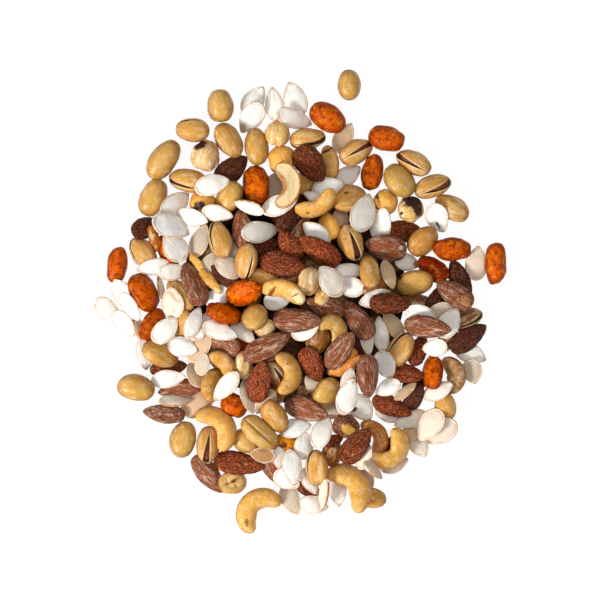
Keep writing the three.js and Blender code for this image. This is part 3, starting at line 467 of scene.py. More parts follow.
WAVE_SPREAD = (0.7, 1.4)  # each wave of a ripple comes less or more often than asked by these
FLUTE_HEIGHTS = (0.5, 1)  # and each wave of a flute is as high as this


def ripples(points, waves, pitch):
    """A smooth random field over points, about -1 to 1, of waves about pitch mm long."""
    ways = rng.normal(size=(waves, 3))
    ways *= (2 * math.pi / pitch) / np.linalg.norm(ways, axis=1, keepdims=True)
    ways *= rng.uniform(*WAVE_SPREAD, (waves, 1))
    phases = rng.uniform(0, 2 * math.pi, waves)
    return np.sin(points @ ways.T + phases).sum(axis=1) / math.sqrt(waves)


def flutes(turn, s, counts, drift):
    """Waves round the length, of counts each way, that wander from end to end: about -1 to 1."""
    wave = np.zeros_like(s)
    for count in counts:
        phase = rng.uniform(0, 2 * math.pi)
        slope, bend = rng.normal(0, drift, 2)
        phase = phase + slope * s + bend * s * s
        wave += np.sin(count * turn + phase) * rng.uniform(*FLUTE_HEIGHTS)
    return wave / math.sqrt(len(counts))


def smooth_step(low, high, value):
    """0 up to low and 1 from high on."""
    t = np.clip((np.asarray(value, dtype=float) - low) / (high - low), 0, 1)
    return t * t * (3 - 2 * t)


def ring_places(rings):
    """Places of the rings along a nut, between its poles at -1 and 1."""
    return -np.cos(np.arange(1, rings + 1) * math.pi / (rings + 1))


def ring_angles(around):
    return np.arange(around) * 2 * math.pi / around


def with_poles(first, rings, last):
    """One value for each point of a skin: the first pole, the rings' points, the last pole."""
    return np.concatenate([[first], np.ravel(rings), [last]])


def skin_grid(rings, around):
    """Places along, from the blunt pole at -1 to the nose at 1, and angles round the length."""
    s = with_poles(-1, np.repeat(ring_places(rings), around), 1)
    return s, with_poles(0, np.tile(ring_angles(around), rings), 0)


def skin_faces(rings, around, is_from_top=False):
    """Faces of a closed skin whose points are a pole, rings of points, and a pole. The rings follow
    each other along the nut, or outwards from the middle of its top."""
    ring = np.arange(around)
    after = (ring + 1) % around
    if not is_from_top:
        ring, after = after, ring
    faces = []
    for k in range(rings - 1):
        low, high = 1 + k * around, 1 + (k + 1) * around
        faces += np.stack([low + ring, high + ring, high + after, low + after], 1).tolist()
    last = 1 + (rings - 1) * around
    faces += np.stack([np.zeros_like(ring), 1 + ring, 1 + after], 1).tolist()
    faces += np.stack([last + after, last + ring, np.full_like(ring, last + around)], 1).tolist()
    return faces


class Skin:
    """The points of one nut in its own frame (along, across, up), with what its paint needs."""

    def __init__(self, along, across, up, faces, **marks):
        self.points = np.stack([along, across, up], axis=1)
        self.faces = faces
        self.marks = marks


# A skin is fuller at its ends than the form by which the nut settles: the power of its outline.
SKIN_FULLNESS = {
    "almond": 0.8, "peanut": 0.87, "chilli_peanut": 0.8, "hazelnut": 0.9, "pistachio": 0.88,
    "chip": 0.65,
}
# The lumps of each kind's skin, coarse to fine: their height, how many waves, and their length.
LUMPS = {
    "almond": ((0.2, 5, 11),),
    "peanut": ((0.2, 7, 13), (0.05, 7, 5)),
    "chilli_peanut": ((0.22, 7, 11), (0.1, 7, 4), (0.04, 7, 1.6)),
    "hazelnut": ((0.3, 7, 8), (0.08, 7, 3)),
    "chip": ((0.3, 7, 6), (0.1, 7, 2)),
    "cashew": ((0.22, 6, 10), (0.06, 8, 3.5)),
    "pistachio": ((0.14, 6, 9), (0.04, 6, 3)),
    "seed": ((0.16, 5, 8), (0.04, 6, 2.5)),
}


def outline(nut, s):
    return breadth(nut.form, s) ** SKIN_FULLNESS[nut.kind]


def lumps_of(nut, points):
    return sum(height * ripples(points, waves, pitch) for height, waves, pitch in LUMPS[nut.kind])


ALMOND_GRID = (25, 84)  # how many rings, and points round each
DEEP_ALMOND_GRID = (14, 40)  # of one deep in a gap
ALMOND_WRINKLES = (0.2, 0.34, 0.12, 0.14)  # height of its lengthwise wrinkles, by tone
ALMOND_PIMPLES = (0.12, 0.06, 0.26, 0.22)  # and of the pimples on it
PIMPLE_WAVES, PIMPLE_PITCH = 14, 1.9
WRINKLE_COUNTS, WRINKLE_DRIFT = range(6, 17, 2), 2.2
WRINKLE_NARROWS = 1.3  # how narrow their crests are
ALMOND_SECTION = (6, 5)  # the half-width and half-thickness on which its relief is laid out
ALMOND_KEEL = 1.08  # above 1 its sides meet in an edge
ALMOND_FADE = 1.6  # its relief fades where its outline is narrower than 1 over this


def almond_skin(nut):
    grid = DEEP_ALMOND_GRID if nut.is_deep else ALMOND_GRID
    s, turn = skin_grid(*grid)
    share = outline(nut, s)
    wave = flutes(turn, s, WRINKLE_COUNTS, WRINKLE_DRIFT)
    crest = np.clip(1 - np.abs(wave) * WRINKLE_NARROWS, 0, 1)
    cos, rise = np.cos(turn), np.sin(turn)
    along = s * nut.length / 2
    flat = np.stack([along, share * cos * ALMOND_SECTION[0], share * rise * ALMOND_SECTION[1]], 1)
    pimple = ripples(flat, PIMPLE_WAVES, PIMPLE_PITCH)
    wrinkle = ALMOND_WRINKLES[nut.tone]
    relief = wrinkle * crest + ALMOND_PIMPLES[nut.tone] * pimple + lumps_of(nut, flat)
    relief = np.clip(share * ALMOND_FADE, 0, 1) * relief - wrinkle / 2
    across = share * (nut.width / 2 + relief) * cos
    up = share * (nut.half + relief) * np.sign(rise) * np.abs(rise) ** ALMOND_KEEL
    return Skin(along, across, up, skin_faces(*grid), crest=crest, rise=rise)


BALL_GRID = (30, 46)
FINE_GRIDS = {"chilli_peanut": (36, 54), "hazelnut": (34, 52)}
DEEP_GRID = (16, 26)  # of a round nut deep in a gap
HAZELNUT_RIBS = (0.9, 0.3, 0.7, 1.2)  # how strongly a hazelnut is ribbed, by tone
RIB_COUNTS, RIB_DRIFT = (4, 5, 7, 9), 0.7
RIB_MIDDLE, RIB_SWING = 0.5, 0.35


def ball_skin(nut):
    """A full round nut: a coated peanut, a hazelnut with its ribs, or a piece of a chip."""
    grid = DEEP_GRID if nut.is_deep else FINE_GRIDS.get(nut.kind, BALL_GRID)
    ribs = HAZELNUT_RIBS[nut.tone] if nut.kind == "hazelnut" else 0
    s, turn = skin_grid(*grid)
    share = outline(nut, s)
    rise = np.sin(turn)
    half_width = nut.width / 2
    flat = np.stack(
        [s * nut.length / 2, share * np.cos(turn) * half_width, share * rise * nut.half], 1
    )
    relief = lumps_of(nut, flat)
    crest = RIB_MIDDLE + RIB_SWING * flutes(turn, s, RIB_COUNTS, RIB_DRIFT)
    relief = relief + ribs * (crest - RIB_MIDDLE) * np.sqrt(np.clip(share, 0, 1))
    points = flat * (1 + relief / half_width)[:, None]
    return Skin(*points.T, skin_faces(*grid), crest=np.clip(crest, 0, 1), rise=rise * share)


BALLED_CASHEW_TONE = 5  # a cashew of this tone is curled up into a cushion
BALLED_FULLNESS = 2.7  # the power of the cushion's outline
BALLED_LUMPS = 0.05  # how high its lumps are, against its size
BALLED_WAVES, BALLED_PITCH = 6, 7


def cushion_skin(nut):
    s, turn = skin_grid(*BALL_GRID)
    share = np.clip(1 - np.abs(s) ** BALLED_FULLNESS, 0, 1) ** (1 / BALLED_FULLNESS)
    rise = share * np.sin(turn)
    arm = nut.curve[0]
    shape = np.stack([s * nut.width / 2, share * np.cos(turn) * nut.length / 2, rise * arm], 1)
    shape *= 1 + BALLED_LUMPS * ripples(shape, BALLED_WAVES, BALLED_PITCH)[:, None]
    return Skin(*shape.T, skin_faces(*BALL_GRID), rise=rise)


CASHEW_GRID = (44, 40)
CASHEW_SLIMNESS = 0.97  # how thick its arms are, against the form by which it settles
CASHEW_SWELL = 1.04  # and at most, with its relief
CASHEW_TAPER = 0.1  # one end may be thicker and the other thinner by up to this share
CASHEW_FADE = 1.5  # its relief fades where it is thinner than its arm by this factor
SEAM_HEIGHT, SEAM_PLACE, SEAM_SPREAD = 0.3, 0.12, 0.012  # the ridge along its back
CREASE_DEPTH, CREASE_SPREAD = 0.45, 0.03  # the crease along its inner side
SPLIT_CASHEW_TONE = 1  # a cashew of this tone is split, its flat face up
SPLIT_LEVEL = 0.3  # how high its face lies, against the radius of its arms
SPLIT_DISH = 0.5  # less this, in mm
SPLIT_EDGE = (0.86, 0.7)  # where across the arm the face ends, and where it is full
SPLIT_INNER = 1.5  # on the inner side it ends sooner by this factor
PLUMP_CASHEW_TONES = (3, 4, 6)  # one of these tones is plump, so that its arms fill its bend
PLUMP_FILL = 0.27  # how far its inner side is drawn in, against the radius of its arms


def cashew_skin(nut):
    if nut.tone == BALLED_CASHEW_TONE:
        return cushion_skin(nut)
    arm, bend, reach, middle = nut.curve
    s, turn = skin_grid(*CASHEW_GRID)
    radius = arm * np.sqrt(np.clip(1 - np.abs(s) ** CASHEW_BLUNT, 0, None))
    cos, sin = np.cos(turn), np.sin(turn)
    seam = np.exp(-((sin - SEAM_PLACE) ** 2) / SEAM_SPREAD) * (cos > 0)
    crease = np.exp(-(sin**2) / CREASE_SPREAD) * (cos < 0)
    relief = lumps_of(nut, np.stack([s * reach * bend, radius * cos, radius * sin], 1))
    relief += SEAM_HEIGHT * seam - CREASE_DEPTH * crease
    fade = np.clip(radius / arm * CASHEW_FADE, 0, 1)
    taper = rng.uniform(-CASHEW_TAPER, CASHEW_TAPER)
    radius = radius * (CASHEW_SLIMNESS + taper * s) + fade * relief
    radius = np.clip(radius, 0, arm * CASHEW_SWELL)
    out, up = bend + radius * cos, radius * sin
    if nut.tone in PLUMP_CASHEW_TONES:
        out -= PLUMP_FILL * (radius - radius * cos)
    face = np.zeros_like(s)
    if nut.tone == SPLIT_CASHEW_TONE:
        level = SPLIT_LEVEL * arm
        sideways = np.where(cos > 0, cos, -cos * SPLIT_INNER)
        face = (up > level) * smooth_step(*SPLIT_EDGE, sideways)
        up = np.minimum(up, level - SPLIT_DISH * face)
    along, across = out * np.cos(s * reach) - middle, -out * np.sin(s * reach)
    return Skin(along, across, up, skin_faces(*CASHEW_GRID), seam=seam, cover=face, rise=sin)


# The rings of a seed from the middle of a cheek out to its edge, and the height over the flat
# middle plane there, both as shares. The rim stands up a little inside the edge.
SEED_PROFILE = (
    (0.2, 1.0), (0.4, 0.97), (0.58, 0.9), (0.7, 0.8), (0.79, 0.68), (0.84, 0.59), (0.87, 0.57),
    (0.9, 0.6), (0.95, 0.54), (0.985, 0.3),
)
SEED_AROUND = 44
SEED_GATHER = 0.12  # its points are drawn together at its sides by this, in radians
SEED_UNEVEN, SEED_UNEVEN_COUNTS = 0.025, (2, 3, 5)  # how its outline wavers
SEED_FLATNESS = 0.9  # how thick its cheeks are, against its form
SEED_THINS = {"gain": 1.25, "least": 0.35, "power": 0.5, "from": 0.5}  # towards its narrow ends
SEED_RIM = (0.84, 0.9)  # its rim starts and is full at these shares of the outline
SEED_BRINK = (0.92, 0.99)  # and so does its outer edge
SEED_GROOVE, SEED_GROOVE_WIDTH = 0.86, 0.035  # the line inside the rim
EDGE_SEED_WIDTH = 8.6  # the true width of a seed seen from its edge
EDGE_SEED_TRUE_THICKNESS = 3.0
EDGE_SEED_LEAST = 0.02  # keeps the tilt of a very thin one within reach


def turned_up(nut, across, up, width, thickness):
    """A seed turned about its length until it shows no wider than its row says."""
    half_width, half_thick = width / 2, thickness / 2
    seen = max((nut.width / 2) ** 2 - half_thick**2, EDGE_SEED_LEAST)
    cos = math.sqrt(min(seen / (half_width**2 - half_thick**2), 1))
    sin = math.sqrt(1 - cos * cos) * (1 if rng.random() < 0.5 else -1)
    across, up = across * cos - up * sin, across * sin + up * cos
    return across, up * min(1, nut.half / np.abs(up).max())


def seed_skin(nut):
    on_edge = is_on_edge(nut.length, nut.width)
    width = EDGE_SEED_WIDTH if on_edge else nut.width
    thickness = EDGE_SEED_TRUE_THICKNESS if on_edge else SEED_THICKNESS
    shares, heights = np.array(SEED_PROFILE).T
    out = np.concatenate([shares, [1], shares[::-1]])
    level = np.concatenate([heights, [0], -heights[::-1]])
    angles = ring_angles(SEED_AROUND)
    angles = angles + SEED_GATHER * np.sin(2 * angles)

    def each_ring(values):
        return with_poles(0, np.tile(values, len(out)), 0)

    s = with_poles(0, out[:, None] * np.cos(angles), 0)
    edge_s = each_ring(np.cos(angles))
    edge = breadth(nut.form, edge_s)
    side = each_ring(np.sign(np.sin(angles).round(9)))
    share = with_poles(0, np.repeat(out, SEED_AROUND), 0)
    uneven = 1 + SEED_UNEVEN * flutes(each_ring(angles), share * 0, SEED_UNEVEN_COUNTS, 0)
    across = share * side * edge * width / 2 * uneven
    along = s * nut.length / 2 * np.minimum(uneven, 1)
    narrow = np.clip(edge * SEED_THINS["gain"], SEED_THINS["least"], 1) ** SEED_THINS["power"]
    up = with_poles(1, np.repeat(level, SEED_AROUND), -1)
    up = up * thickness / 2 * np.where(share > SEED_THINS["from"], narrow, 1)
    lumps = lumps_of(nut, np.stack([along, across, np.zeros_like(s)], 1))
    up = up * SEED_FLATNESS + (1 - share**4) * lumps
    rim, brink = smooth_step(*SEED_RIM, share), smooth_step(*SEED_BRINK, share)
    line = np.exp(-(((share - SEED_GROOVE) / SEED_GROOVE_WIDTH) ** 2))
    if on_edge:
        across, up = turned_up(nut, across, up, width, thickness)
    faces = skin_faces(len(out), SEED_AROUND, is_from_top=True)
    return Skin(along, across, up, faces, rim=rim, line=line, brink=brink, end=edge_s * share)


SHELL_RINGS = 44
SHELL_SIDE = 17  # points from the lip round to the far side
SHELL_CROWDING = 1.25  # above 1 they crowd towards the lip
SHELL_LIP = 0.11  # how far the lip's edge is from the slit, in radians
LIP_FLARE = 0.35  # how far the lips of a shell that gapes by 1 turn out
MOUTH_SHORT = 0.06  # and how far its inside is drawn back from the mouth, as a share
SLIT_START = -0.6  # where the slit starts, from -1 at the stem to 1 at the mouth
SLIT_DEPTH = 0.42  # how deep it is, against the shell's radius
SLIT_DEPTH_GROWS = 2.2  # how fast it reaches that depth from its start
SLIT_LEAST_DEPTH = 0.05
SLIT_HALF = 1.35  # half the width of the slit of a shell that gapes by 1
SLIT_WIDENS = 0.75  # the power by which it widens
SLIT_LEAST = 0.12  # but it is never less
SLIT_ANGLES = (0.02, 1.1)  # the least and greatest half-width, in radians
LEAST_RADIUS = 0.5  # keeps the slit's angle within reach at the shell's ends
# Where the points stand on one side of the slit: how far out between the slit's middle (0) and
# its edge (1), and how deep, from 0 on the skin to 1 at the bottom.
SLIT_PROFILE = ((0, 1), (0.55, 1), (0.9, 0.96), (1.0, 0.72), (1.02, 0.3), (1.06, 0.08))
SUNK_FROM = 0.2  # a point deeper than this share of the slit is inside
SKIN_UP_TO = 0.05  # and one less deep than this is on the skin
SEAMED_TONE = 3  # a closed shell of this tone has a deep seam
SEAM = {True: (0.2, 0.13), False: (0.05, 0.02)}  # half-width in radians and depth of a closed seam
SEAM_ENDS = (1, 0.8)  # where along the shell it fades
SEAM_SHIFT = 0.05
SEAM_ROUND = 0.7  # the power of its section
SEAM_TINT = {True: 1, False: 0.3}  # how strongly its colour shows
SEAM_TINT_WIDTH = 0.5  # over what share of its half-width


def slit_of(nut, along):
    """The half-width, in radians, and the depth of a shell's slit or closed seam at each ring, and
    how far the shell has opened there."""
    gape = nut.extras[1]
    opened = np.clip((along - SLIT_START) / (1 - SLIT_START), 0, 1)
    if gape == 0:
        half_seam, depth = SEAM[nut.tone == SEAMED_TONE]
        fade = smooth_step(*SEAM_ENDS, np.abs(along + SEAM_SHIFT))
        return np.full_like(along, half_seam), depth * fade, opened
    half = np.maximum(gape * SLIT_HALF * opened**SLIT_WIDENS, SLIT_LEAST)
    radius = outline(nut, along) * nut.width / 2
    half = np.clip(half / np.maximum(radius, LEAST_RADIUS), *SLIT_ANGLES)
    depth = SLIT_DEPTH * np.clip(gape * opened * SLIT_DEPTH_GROWS, SLIT_LEAST_DEPTH, 1)
    return half, depth, opened


def shell_section(half_slit, depth, is_open):
    """Angles from the slit and depths of the points round a shell, a column for each."""
    turns, deeps = [], []
    for out, deep in SLIT_PROFILE:
        if not is_open:
            deep = 1 - out**SEAM_ROUND if out < 1 else 0
        turns.append(half_slit * out)
        deeps.append(depth * deep)
    lip = turns[-1]
    for k in range(1, SHELL_SIDE + 1):
        turns.append(lip + (math.pi - lip) * (k / SHELL_SIDE) ** SHELL_CROWDING)
        deeps.append(np.zeros_like(lip))
    turns += [-turn for turn in turns[-2:0:-1]]
    deeps += deeps[-2:0:-1]
    return np.stack(turns, 1), np.stack(deeps, 1)


def shell_skin(nut):
    """A pistachio's shell, split open along a slit that widens towards its mouth."""
    slit_place, gape = nut.extras
    is_open = gape > 0
    along = ring_places(SHELL_RINGS)
    share = outline(nut, along)[:, None]
    half_slit, depth, opened = slit_of(nut, along)
    turn, deep = shell_section(half_slit, depth, is_open)
    near_lip = np.exp(-(((np.abs(turn) - half_slit[:, None]) / SHELL_LIP) ** 2))
    flare = LIP_FLARE * gape * opened[:, None] * near_lip * (deep < SKIN_UP_TO)
    size = share * (1 - deep)
    angle = math.acos(slit_place) + turn
    across = with_poles(0, (size * nut.width / 2 + flare) * np.cos(angle), 0)
    up = with_poles(0, (size * nut.half + flare) * np.sin(angle), 0)
    around = turn.shape[1]
    s = with_poles(-1, np.repeat(along, around), 1)
    inside = with_poles(0, deep > SUNK_FROM * depth[:, None], is_open) * is_open
    closed = with_poles(0, np.exp(-((turn / half_slit[:, None] / SEAM_TINT_WIDTH) ** 2)), 0)
    seam = closed * (not is_open) * SEAM_TINT[nut.tone == SEAMED_TONE]
    x = s * nut.length / 2
    x = np.where(s > 0, x * (1 - MOUTH_SHORT * gape * inside), x)
    shape = np.stack([x, across, up], 1)
    shape *= (1 + lumps_of(nut, shape) / (nut.width / 2))[:, None]
    rise = with_poles(0, share * np.sin(angle), 0)
    lips = with_poles(0, near_lip, 0) * is_open
    faces = skin_faces(SHELL_RINGS, around)
    return Skin(*shape.T, faces, cover=inside, lip=lips, seam=seam, rise=rise, end=s)


KERNEL_GRID = (20, 28)
KERNEL_SIZE = (0.78, 0.76)  # its length and thickness against the shell's
KERNEL_SLIMNESS, KERNEL_RIDGES = 0.95, 0.03  # its thickness between ridges, and the ridges' height
KERNEL_FORWARD = 0.5  # it lies this far towards the mouth
KERNEL_BLUNT = 2.4


def kernel_skin(nut):
    s, turn = skin_grid(*KERNEL_GRID)
    share = np.sqrt(np.clip(1 - np.abs(s) ** KERNEL_BLUNT, 0, None))
    ridge = np.sin(6 * turn + 2 * s) + np.sin(9 * turn + 4 - 3 * s)
    size = KERNEL_SIZE[1] * (KERNEL_SLIMNESS + KERNEL_RIDGES * ridge)
    along = s * nut.length / 2 * KERNEL_SIZE[0] + KERNEL_FORWARD
    across = share * size * nut.width / 2 * np.cos(turn)
    up = share * size * nut.half * np.sin(turn)
    return Skin(along, across, up, skin_faces(*KERNEL_GRID))


# ---- paint ------------------------------------------------------------------------------------


def shade(text):
    """The linear colour of a web colour such as #cfa15a."""
    parts = [int(text[i : i + 2], 16) / 255 for i in (1, 3, 5)]
    return [p / 12.92 if p <= 0.04045 else ((p + 0.055) / 1.055) ** 2.4 for p in parts]


# The colours of each kind, by tone. A kernel has its shell's tone.
# Almond tone 0, peanut tone 1, pistachio tone 2 with its kernel, and seed tone 3 are darker copies:
# painted shade for nuts that lie in shade low in the heap.
TONES = {
    "almond": ("#481203", "#934927", "#802705", "#671b04"),
    "peanut": ("#d5a048", "#8e4c00", "#dc943a"),
    "chilli_peanut": ("#d25800", "#801a00", "#cc8410"),
    "hazelnut": ("#e8ba64", "#f6b44e", "#59261c", "#e8ba76"),
    "pistachio": ("#d09642", "#cf943e", "#6c3400", "#e8b45a"),
    "kernel": ("#6a3022", "#6a3022", "#4a2a1c", "#6a3022"),
    "cashew": ("#e2a746", "#c08038", "#d4801a", "#dca64c", "#9c6826", "#e6b868", "#d49230"),
    "chip": ("#d69c40", "#9c5208"),
    "seed": ("#f4efe6", "#e6d6c4", "#d0b18c", "#c8b7a2", "#aa7d4b"),
}
TONE_SPREAD = 0.07  # how far a nut strays from its tone, darker or lighter
SEED_TONE_SPREAD = TONE_SPREAD / 3
WARM_SPREAD = TONE_SPREAD / 3  # and towards red or blue
DEEP_SHADE = 0.6  # painted shade: the nuts deep in the gaps are painted this much darker


def nut_colour(nut, kind):
    """A nut's colour: its tone, a little lighter or darker, warmer or cooler, and darker by painted
    shade if it lies deep in a gap.
    """
    light = 1 + rng.normal(0, SEED_TONE_SPREAD if kind == "seed" else TONE_SPREAD)
    warm = rng.normal(0, WARM_SPREAD)
    base = np.array(shade(TONES[kind][nut.tone]))
    colour = np.clip(base * light * np.array([1 + warm, 1, 1 - warm]), 0, 1)
    return colour * (DEEP_SHADE if nut.is_deep else 1)


def fill(node, inputs):
    """Sets inputs of a node: each to a number, a web colour or what another node gives."""
    for name, value in inputs.items():
        if isinstance(value, bpy.types.NodeSocket):
            node.id_data.links.new(value, node.inputs[name])
        else:
            is_colour = isinstance(value, str)
            node.inputs[name].default_value = (*shade(value), 1) if is_colour else value


def new_shader(name, inputs):
    """A new material and its shader."""
    material = bpy.data.materials.new(name)
    material.use_nodes = True
    shader = material.node_tree.nodes["Principled BSDF"]
    fill(shader, inputs)
    return material, shader


# The sockets of a Mix node for colours.
MIX_SHARE, MIX_FIRST, MIX_SECOND, MIX_RESULT = 0, 6, 7, 2


class Paint:
    """A procedural material. Most calls add nodes and give what comes out of them, and cover lays
    one colour after another on the nut's own hue."""

    def __init__(self, name, roughness, specular):
        inputs = {"Roughness": roughness, "Specular IOR Level": specular}
        self.material, self.shader = new_shader(name, inputs)
        self.hue = self.colour = self.mark("hue", "Color")

    def node(self, kind, output, inputs, **settings):
        made = self.material.node_tree.nodes.new("ShaderNode" + kind)
        for name, value in settings.items():
            setattr(made, name, value)
        fill(made, inputs)
        return made.outputs[output]

    def mark(self, name, output="Fac"):
        return self.node("Attribute", output, {}, attribute_name=name)

    def noise(self, scale, detail=3, rough=0.55, along=1):
        """Noise over the nut's own millimetres, of scale waves to one, drawn out along its length
        where along is below 1."""
        place = {0: self.mark("own", "Vector"), 1: (along, 1, 1)}
        place = self.node("VectorMath", 0, place, operation="MULTIPLY")
        inputs = {"Vector": place, "Scale": scale, "Detail": detail, "Roughness": rough}
        return self.node("TexNoise", "Fac", inputs)

    def step(self, value, none, full):
        """0 where value is at none, to 1 where it is at full."""
        inputs = {"Value": value, "From Min": none, "From Max": full}
        return self.node("MapRange", 0, inputs, interpolation_type="SMOOTHSTEP")

    def spots(self, span, scale, **noise):
        """Spots of a noise, that fade in over a span of its values."""
        return self.step(self.noise(scale, **noise), *span)

    def sides(self, none, full):
        """Painted shade: 0 on top of the nut, up to 1 down its flanks."""
        return self.step(self.mark("rise"), none, full)

    def math(self, operation, first, second=0.0):
        return self.node("Math", 0, {0: first, 1: second}, operation=operation)

    def times(self, first, *others):
        for other in others:
            first = self.math("MULTIPLY", first, other)
        return first

    def threads(self, value, half):
        """1 where a noise crosses its middle, 0 at half from it: thin lines that meet and part."""
        return self.step(self.math("ABSOLUTE", self.math("SUBTRACT", value, 0.5)), half, 0.0)

    def mix(self, share, first, second):
        inputs = {MIX_SHARE: share, MIX_FIRST: first, MIX_SECOND: second}
        return self.node("Mix", MIX_RESULT, inputs, data_type="RGBA")

    def cover(self, colour, *shares, tint=1):
        """Lays a colour over what is there by the product of its shares. A tint below 1 lets the
        nut's own hue into it."""
        if tint < 1:
            colour = self.mix(tint, self.hue, colour)
        self.colour = self.mix(self.times(*shares), self.colour, colour)

    def freckle(self, dark, light, share, tint=1):
        """Fine dark and light specks all over."""
        fine = self.noise(1.2, detail=2, rough=0.7)
        self.cover(dark, self.step(fine, 0.48, 0.36), share, tint=tint)
        self.cover(light, self.step(fine, 0.54, 0.66), share, tint=tint)

    def finish(self, relief, depth):
        """Lays the nut's own spots on it, and bumps depth mm high."""
        self.cover(self.mark("spot", "Color"), self.mark("spot", "Alpha"))
        bumps = self.node("Bump", 0, {"Distance": depth * MM, "Height": relief})
        fill(self.shader, {"Base Color": self.colour, "Normal": bumps})
        return self.material


def almond_paint():
    paint = Paint("almond_skin", roughness=0.5, specular=0.12)
    salted, grain = paint.mark("salted"), paint.mark("grain")
    # Painted shade: near black down the flanks and underneath.
    paint.cover("#1a0602", paint.sides(0.85, -0.1), tint=0.75)
    paint.cover("#2a0c04", paint.spots((0.5, 0.34), 0.8, rough=0.6, along=0.12), tint=0.55)
    threads = paint.threads(paint.noise(0.75, detail=2, rough=0.6, along=0.12), 0.06)
    ridges = paint.step(paint.mark("crest"), 0.7, 1.0)
    lines = paint.math("MAXIMUM", paint.times(threads, 0.9), ridges)
    paint.cover("#e2bfa2", lines, paint.spots((0.24, 0.46), 0.35), salted)
    pebbles = paint.noise(1.4, detail=2, rough=0.6, along=0.7)
    paint.cover("#e8803c", paint.step(pebbles, 0.5, 0.6), grain, 0.9, tint=0.5)
    paint.cover("#2c0a03", paint.step(pebbles, 0.46, 0.36), grain, 0.7)
    specks = paint.spots((0.6, 0.68), 1.9, detail=2, rough=0.5)
    paint.cover("#e4b08a", specks, paint.math("MAXIMUM", grain, salted), 0.45)
    return paint.finish(paint.math("ADD", paint.times(lines, 0.6), pebbles), depth=0.8)


def peanut_paint():
    paint = Paint("peanut_coat", roughness=0.27, specular=0.35)
    # Painted shade, darker down the flanks, added to real darker blotches of the coat.
    sides = paint.times(paint.sides(0.96, 0.2), 0.8)
    blotches = paint.times(paint.spots((0.4, 0.75), 0.16), 0.25)
    paint.cover("#704006", paint.math("ADD", sides, blotches), tint=0.8)
    paint.cover("#eed0a0", paint.spots((0.48, 0.7), 0.5, along=0.5), 0.4)
    paint.freckle("#9a641c", "#efd29c", 0.16)
    return paint.finish(paint.noise(1.1), depth=0.2)


def chilli_paint():
    paint = Paint("chilli_coat", roughness=0.28, specular=0.08)
    # Painted shade, dark red-brown down the flanks, joined with real dark blotches of the coat.
    sides = paint.times(paint.sides(0.96, 0.4), 0.95)
    blotches = paint.times(paint.spots((0.48, 0.62), 0.3, detail=4, rough=0.6), 0.8)
    paint.cover("#7c1e00", paint.math("MAXIMUM", sides, blotches), tint=0.9)
    paint.cover("#f6a020", paint.spots((0.5, 0.66), 0.36, rough=0.6), 0.6, tint=0.6)
    paint.cover("#661400", paint.spots((0.57, 0.64), 0.75, rough=0.65), 0.85)
    paint.freckle("#7a2000", "#ee9a24", 0.16)
    return paint.finish(paint.noise(0.8, detail=4, rough=0.6), depth=0.45)


def hazelnut_paint():
    paint = Paint("hazelnut_flesh", roughness=0.34, specular=0.22)
    # Painted shade, browner down the flanks, joined with the browner colour in its grooves.
    sides = paint.times(paint.sides(0.85, 0.1), 0.8)
    grooves = paint.times(paint.step(paint.mark("crest"), 0.5, 0.12), 0.42)
    paint.cover("#b4601a", paint.math("MAXIMUM", sides, grooves), tint=0.75)
    pale = paint.spots((0.46, 0.66), 0.45, along=0.4)
    paint.cover("#fdeac4", pale, paint.mark("blanched"), 0.75)
    paint.freckle("#a8642a", "#fbe6bc", 0.3)
    return paint.finish(paint.noise(0.8, detail=4, along=0.5), depth=0.45)


def cashew_paint():
    paint = Paint("cashew_flesh", roughness=0.36, specular=0.22)
    # Painted shade, browner down the flanks, added to real browned spots.
    sides = paint.times(paint.sides(0.92, 0.1), 0.85)
    browned = paint.times(paint.spots((0.45, 0.75), 0.22), 0.35)
    paint.cover("#a85c16", paint.math("ADD", sides, browned), tint=0.85)
    paint.cover("#fff0d0", paint.spots((0.46, 0.66), 0.35), 0.4, tint=0.6)
    paint.cover("#9c6220", paint.mark("seam"), 0.5)
    paint.freckle("#8c5010", "#fff0d0", 0.32, tint=0.6)
    paint.cover("#f2d6a2", paint.mark("cover"))
    return paint.finish(paint.noise(0.85, detail=4), depth=0.4)


def shell_paint():
    paint = Paint("pistachio_shell", roughness=0.36, specular=0.2)
    # Painted shade, browner down the flanks, added to faint lengthwise streaks.
    sides = paint.times(paint.sides(0.85, 0.0), 0.9)
    lines = paint.times(paint.spots((0.46, 0.64), 0.9, along=0.12), 0.35)
    paint.cover("#884a10", paint.math("ADD", sides, lines), tint=0.8)
    paint.cover("#f0d9ac", paint.spots((0.46, 0.66), 0.4, along=0.3), 0.4)
    ends = paint.step(paint.math("ABSOLUTE", paint.mark("end")), 0.75, 1.0)
    paint.cover("#8c5428", ends, 0.6)
    paint.freckle("#9a6228", "#f2dcb0", 0.25)
    paint.cover("#eed3a0", paint.mark("lip"), 0.6)
    paint.cover("#a0641c", paint.mark("seam"), 0.7)
    # Painted shade: the inside of an open slit, near black-brown.
    paint.cover("#3a160a", paint.mark("cover"))
    return paint.finish(paint.noise(1.0, along=0.3), depth=0.3)


def kernel_paint():
    paint = Paint("pistachio_kernel", roughness=0.45, specular=0.2)
    wrinkle = paint.noise(1.2, detail=4, rough=0.6, along=0.3)
    paint.cover("#8c4a34", paint.step(wrinkle, 0.4, 0.7))
    paint.cover("#7c7a34", paint.spots((0.6, 0.75), 0.3, detail=2), 0.4)
    return paint.finish(wrinkle, depth=0.4)


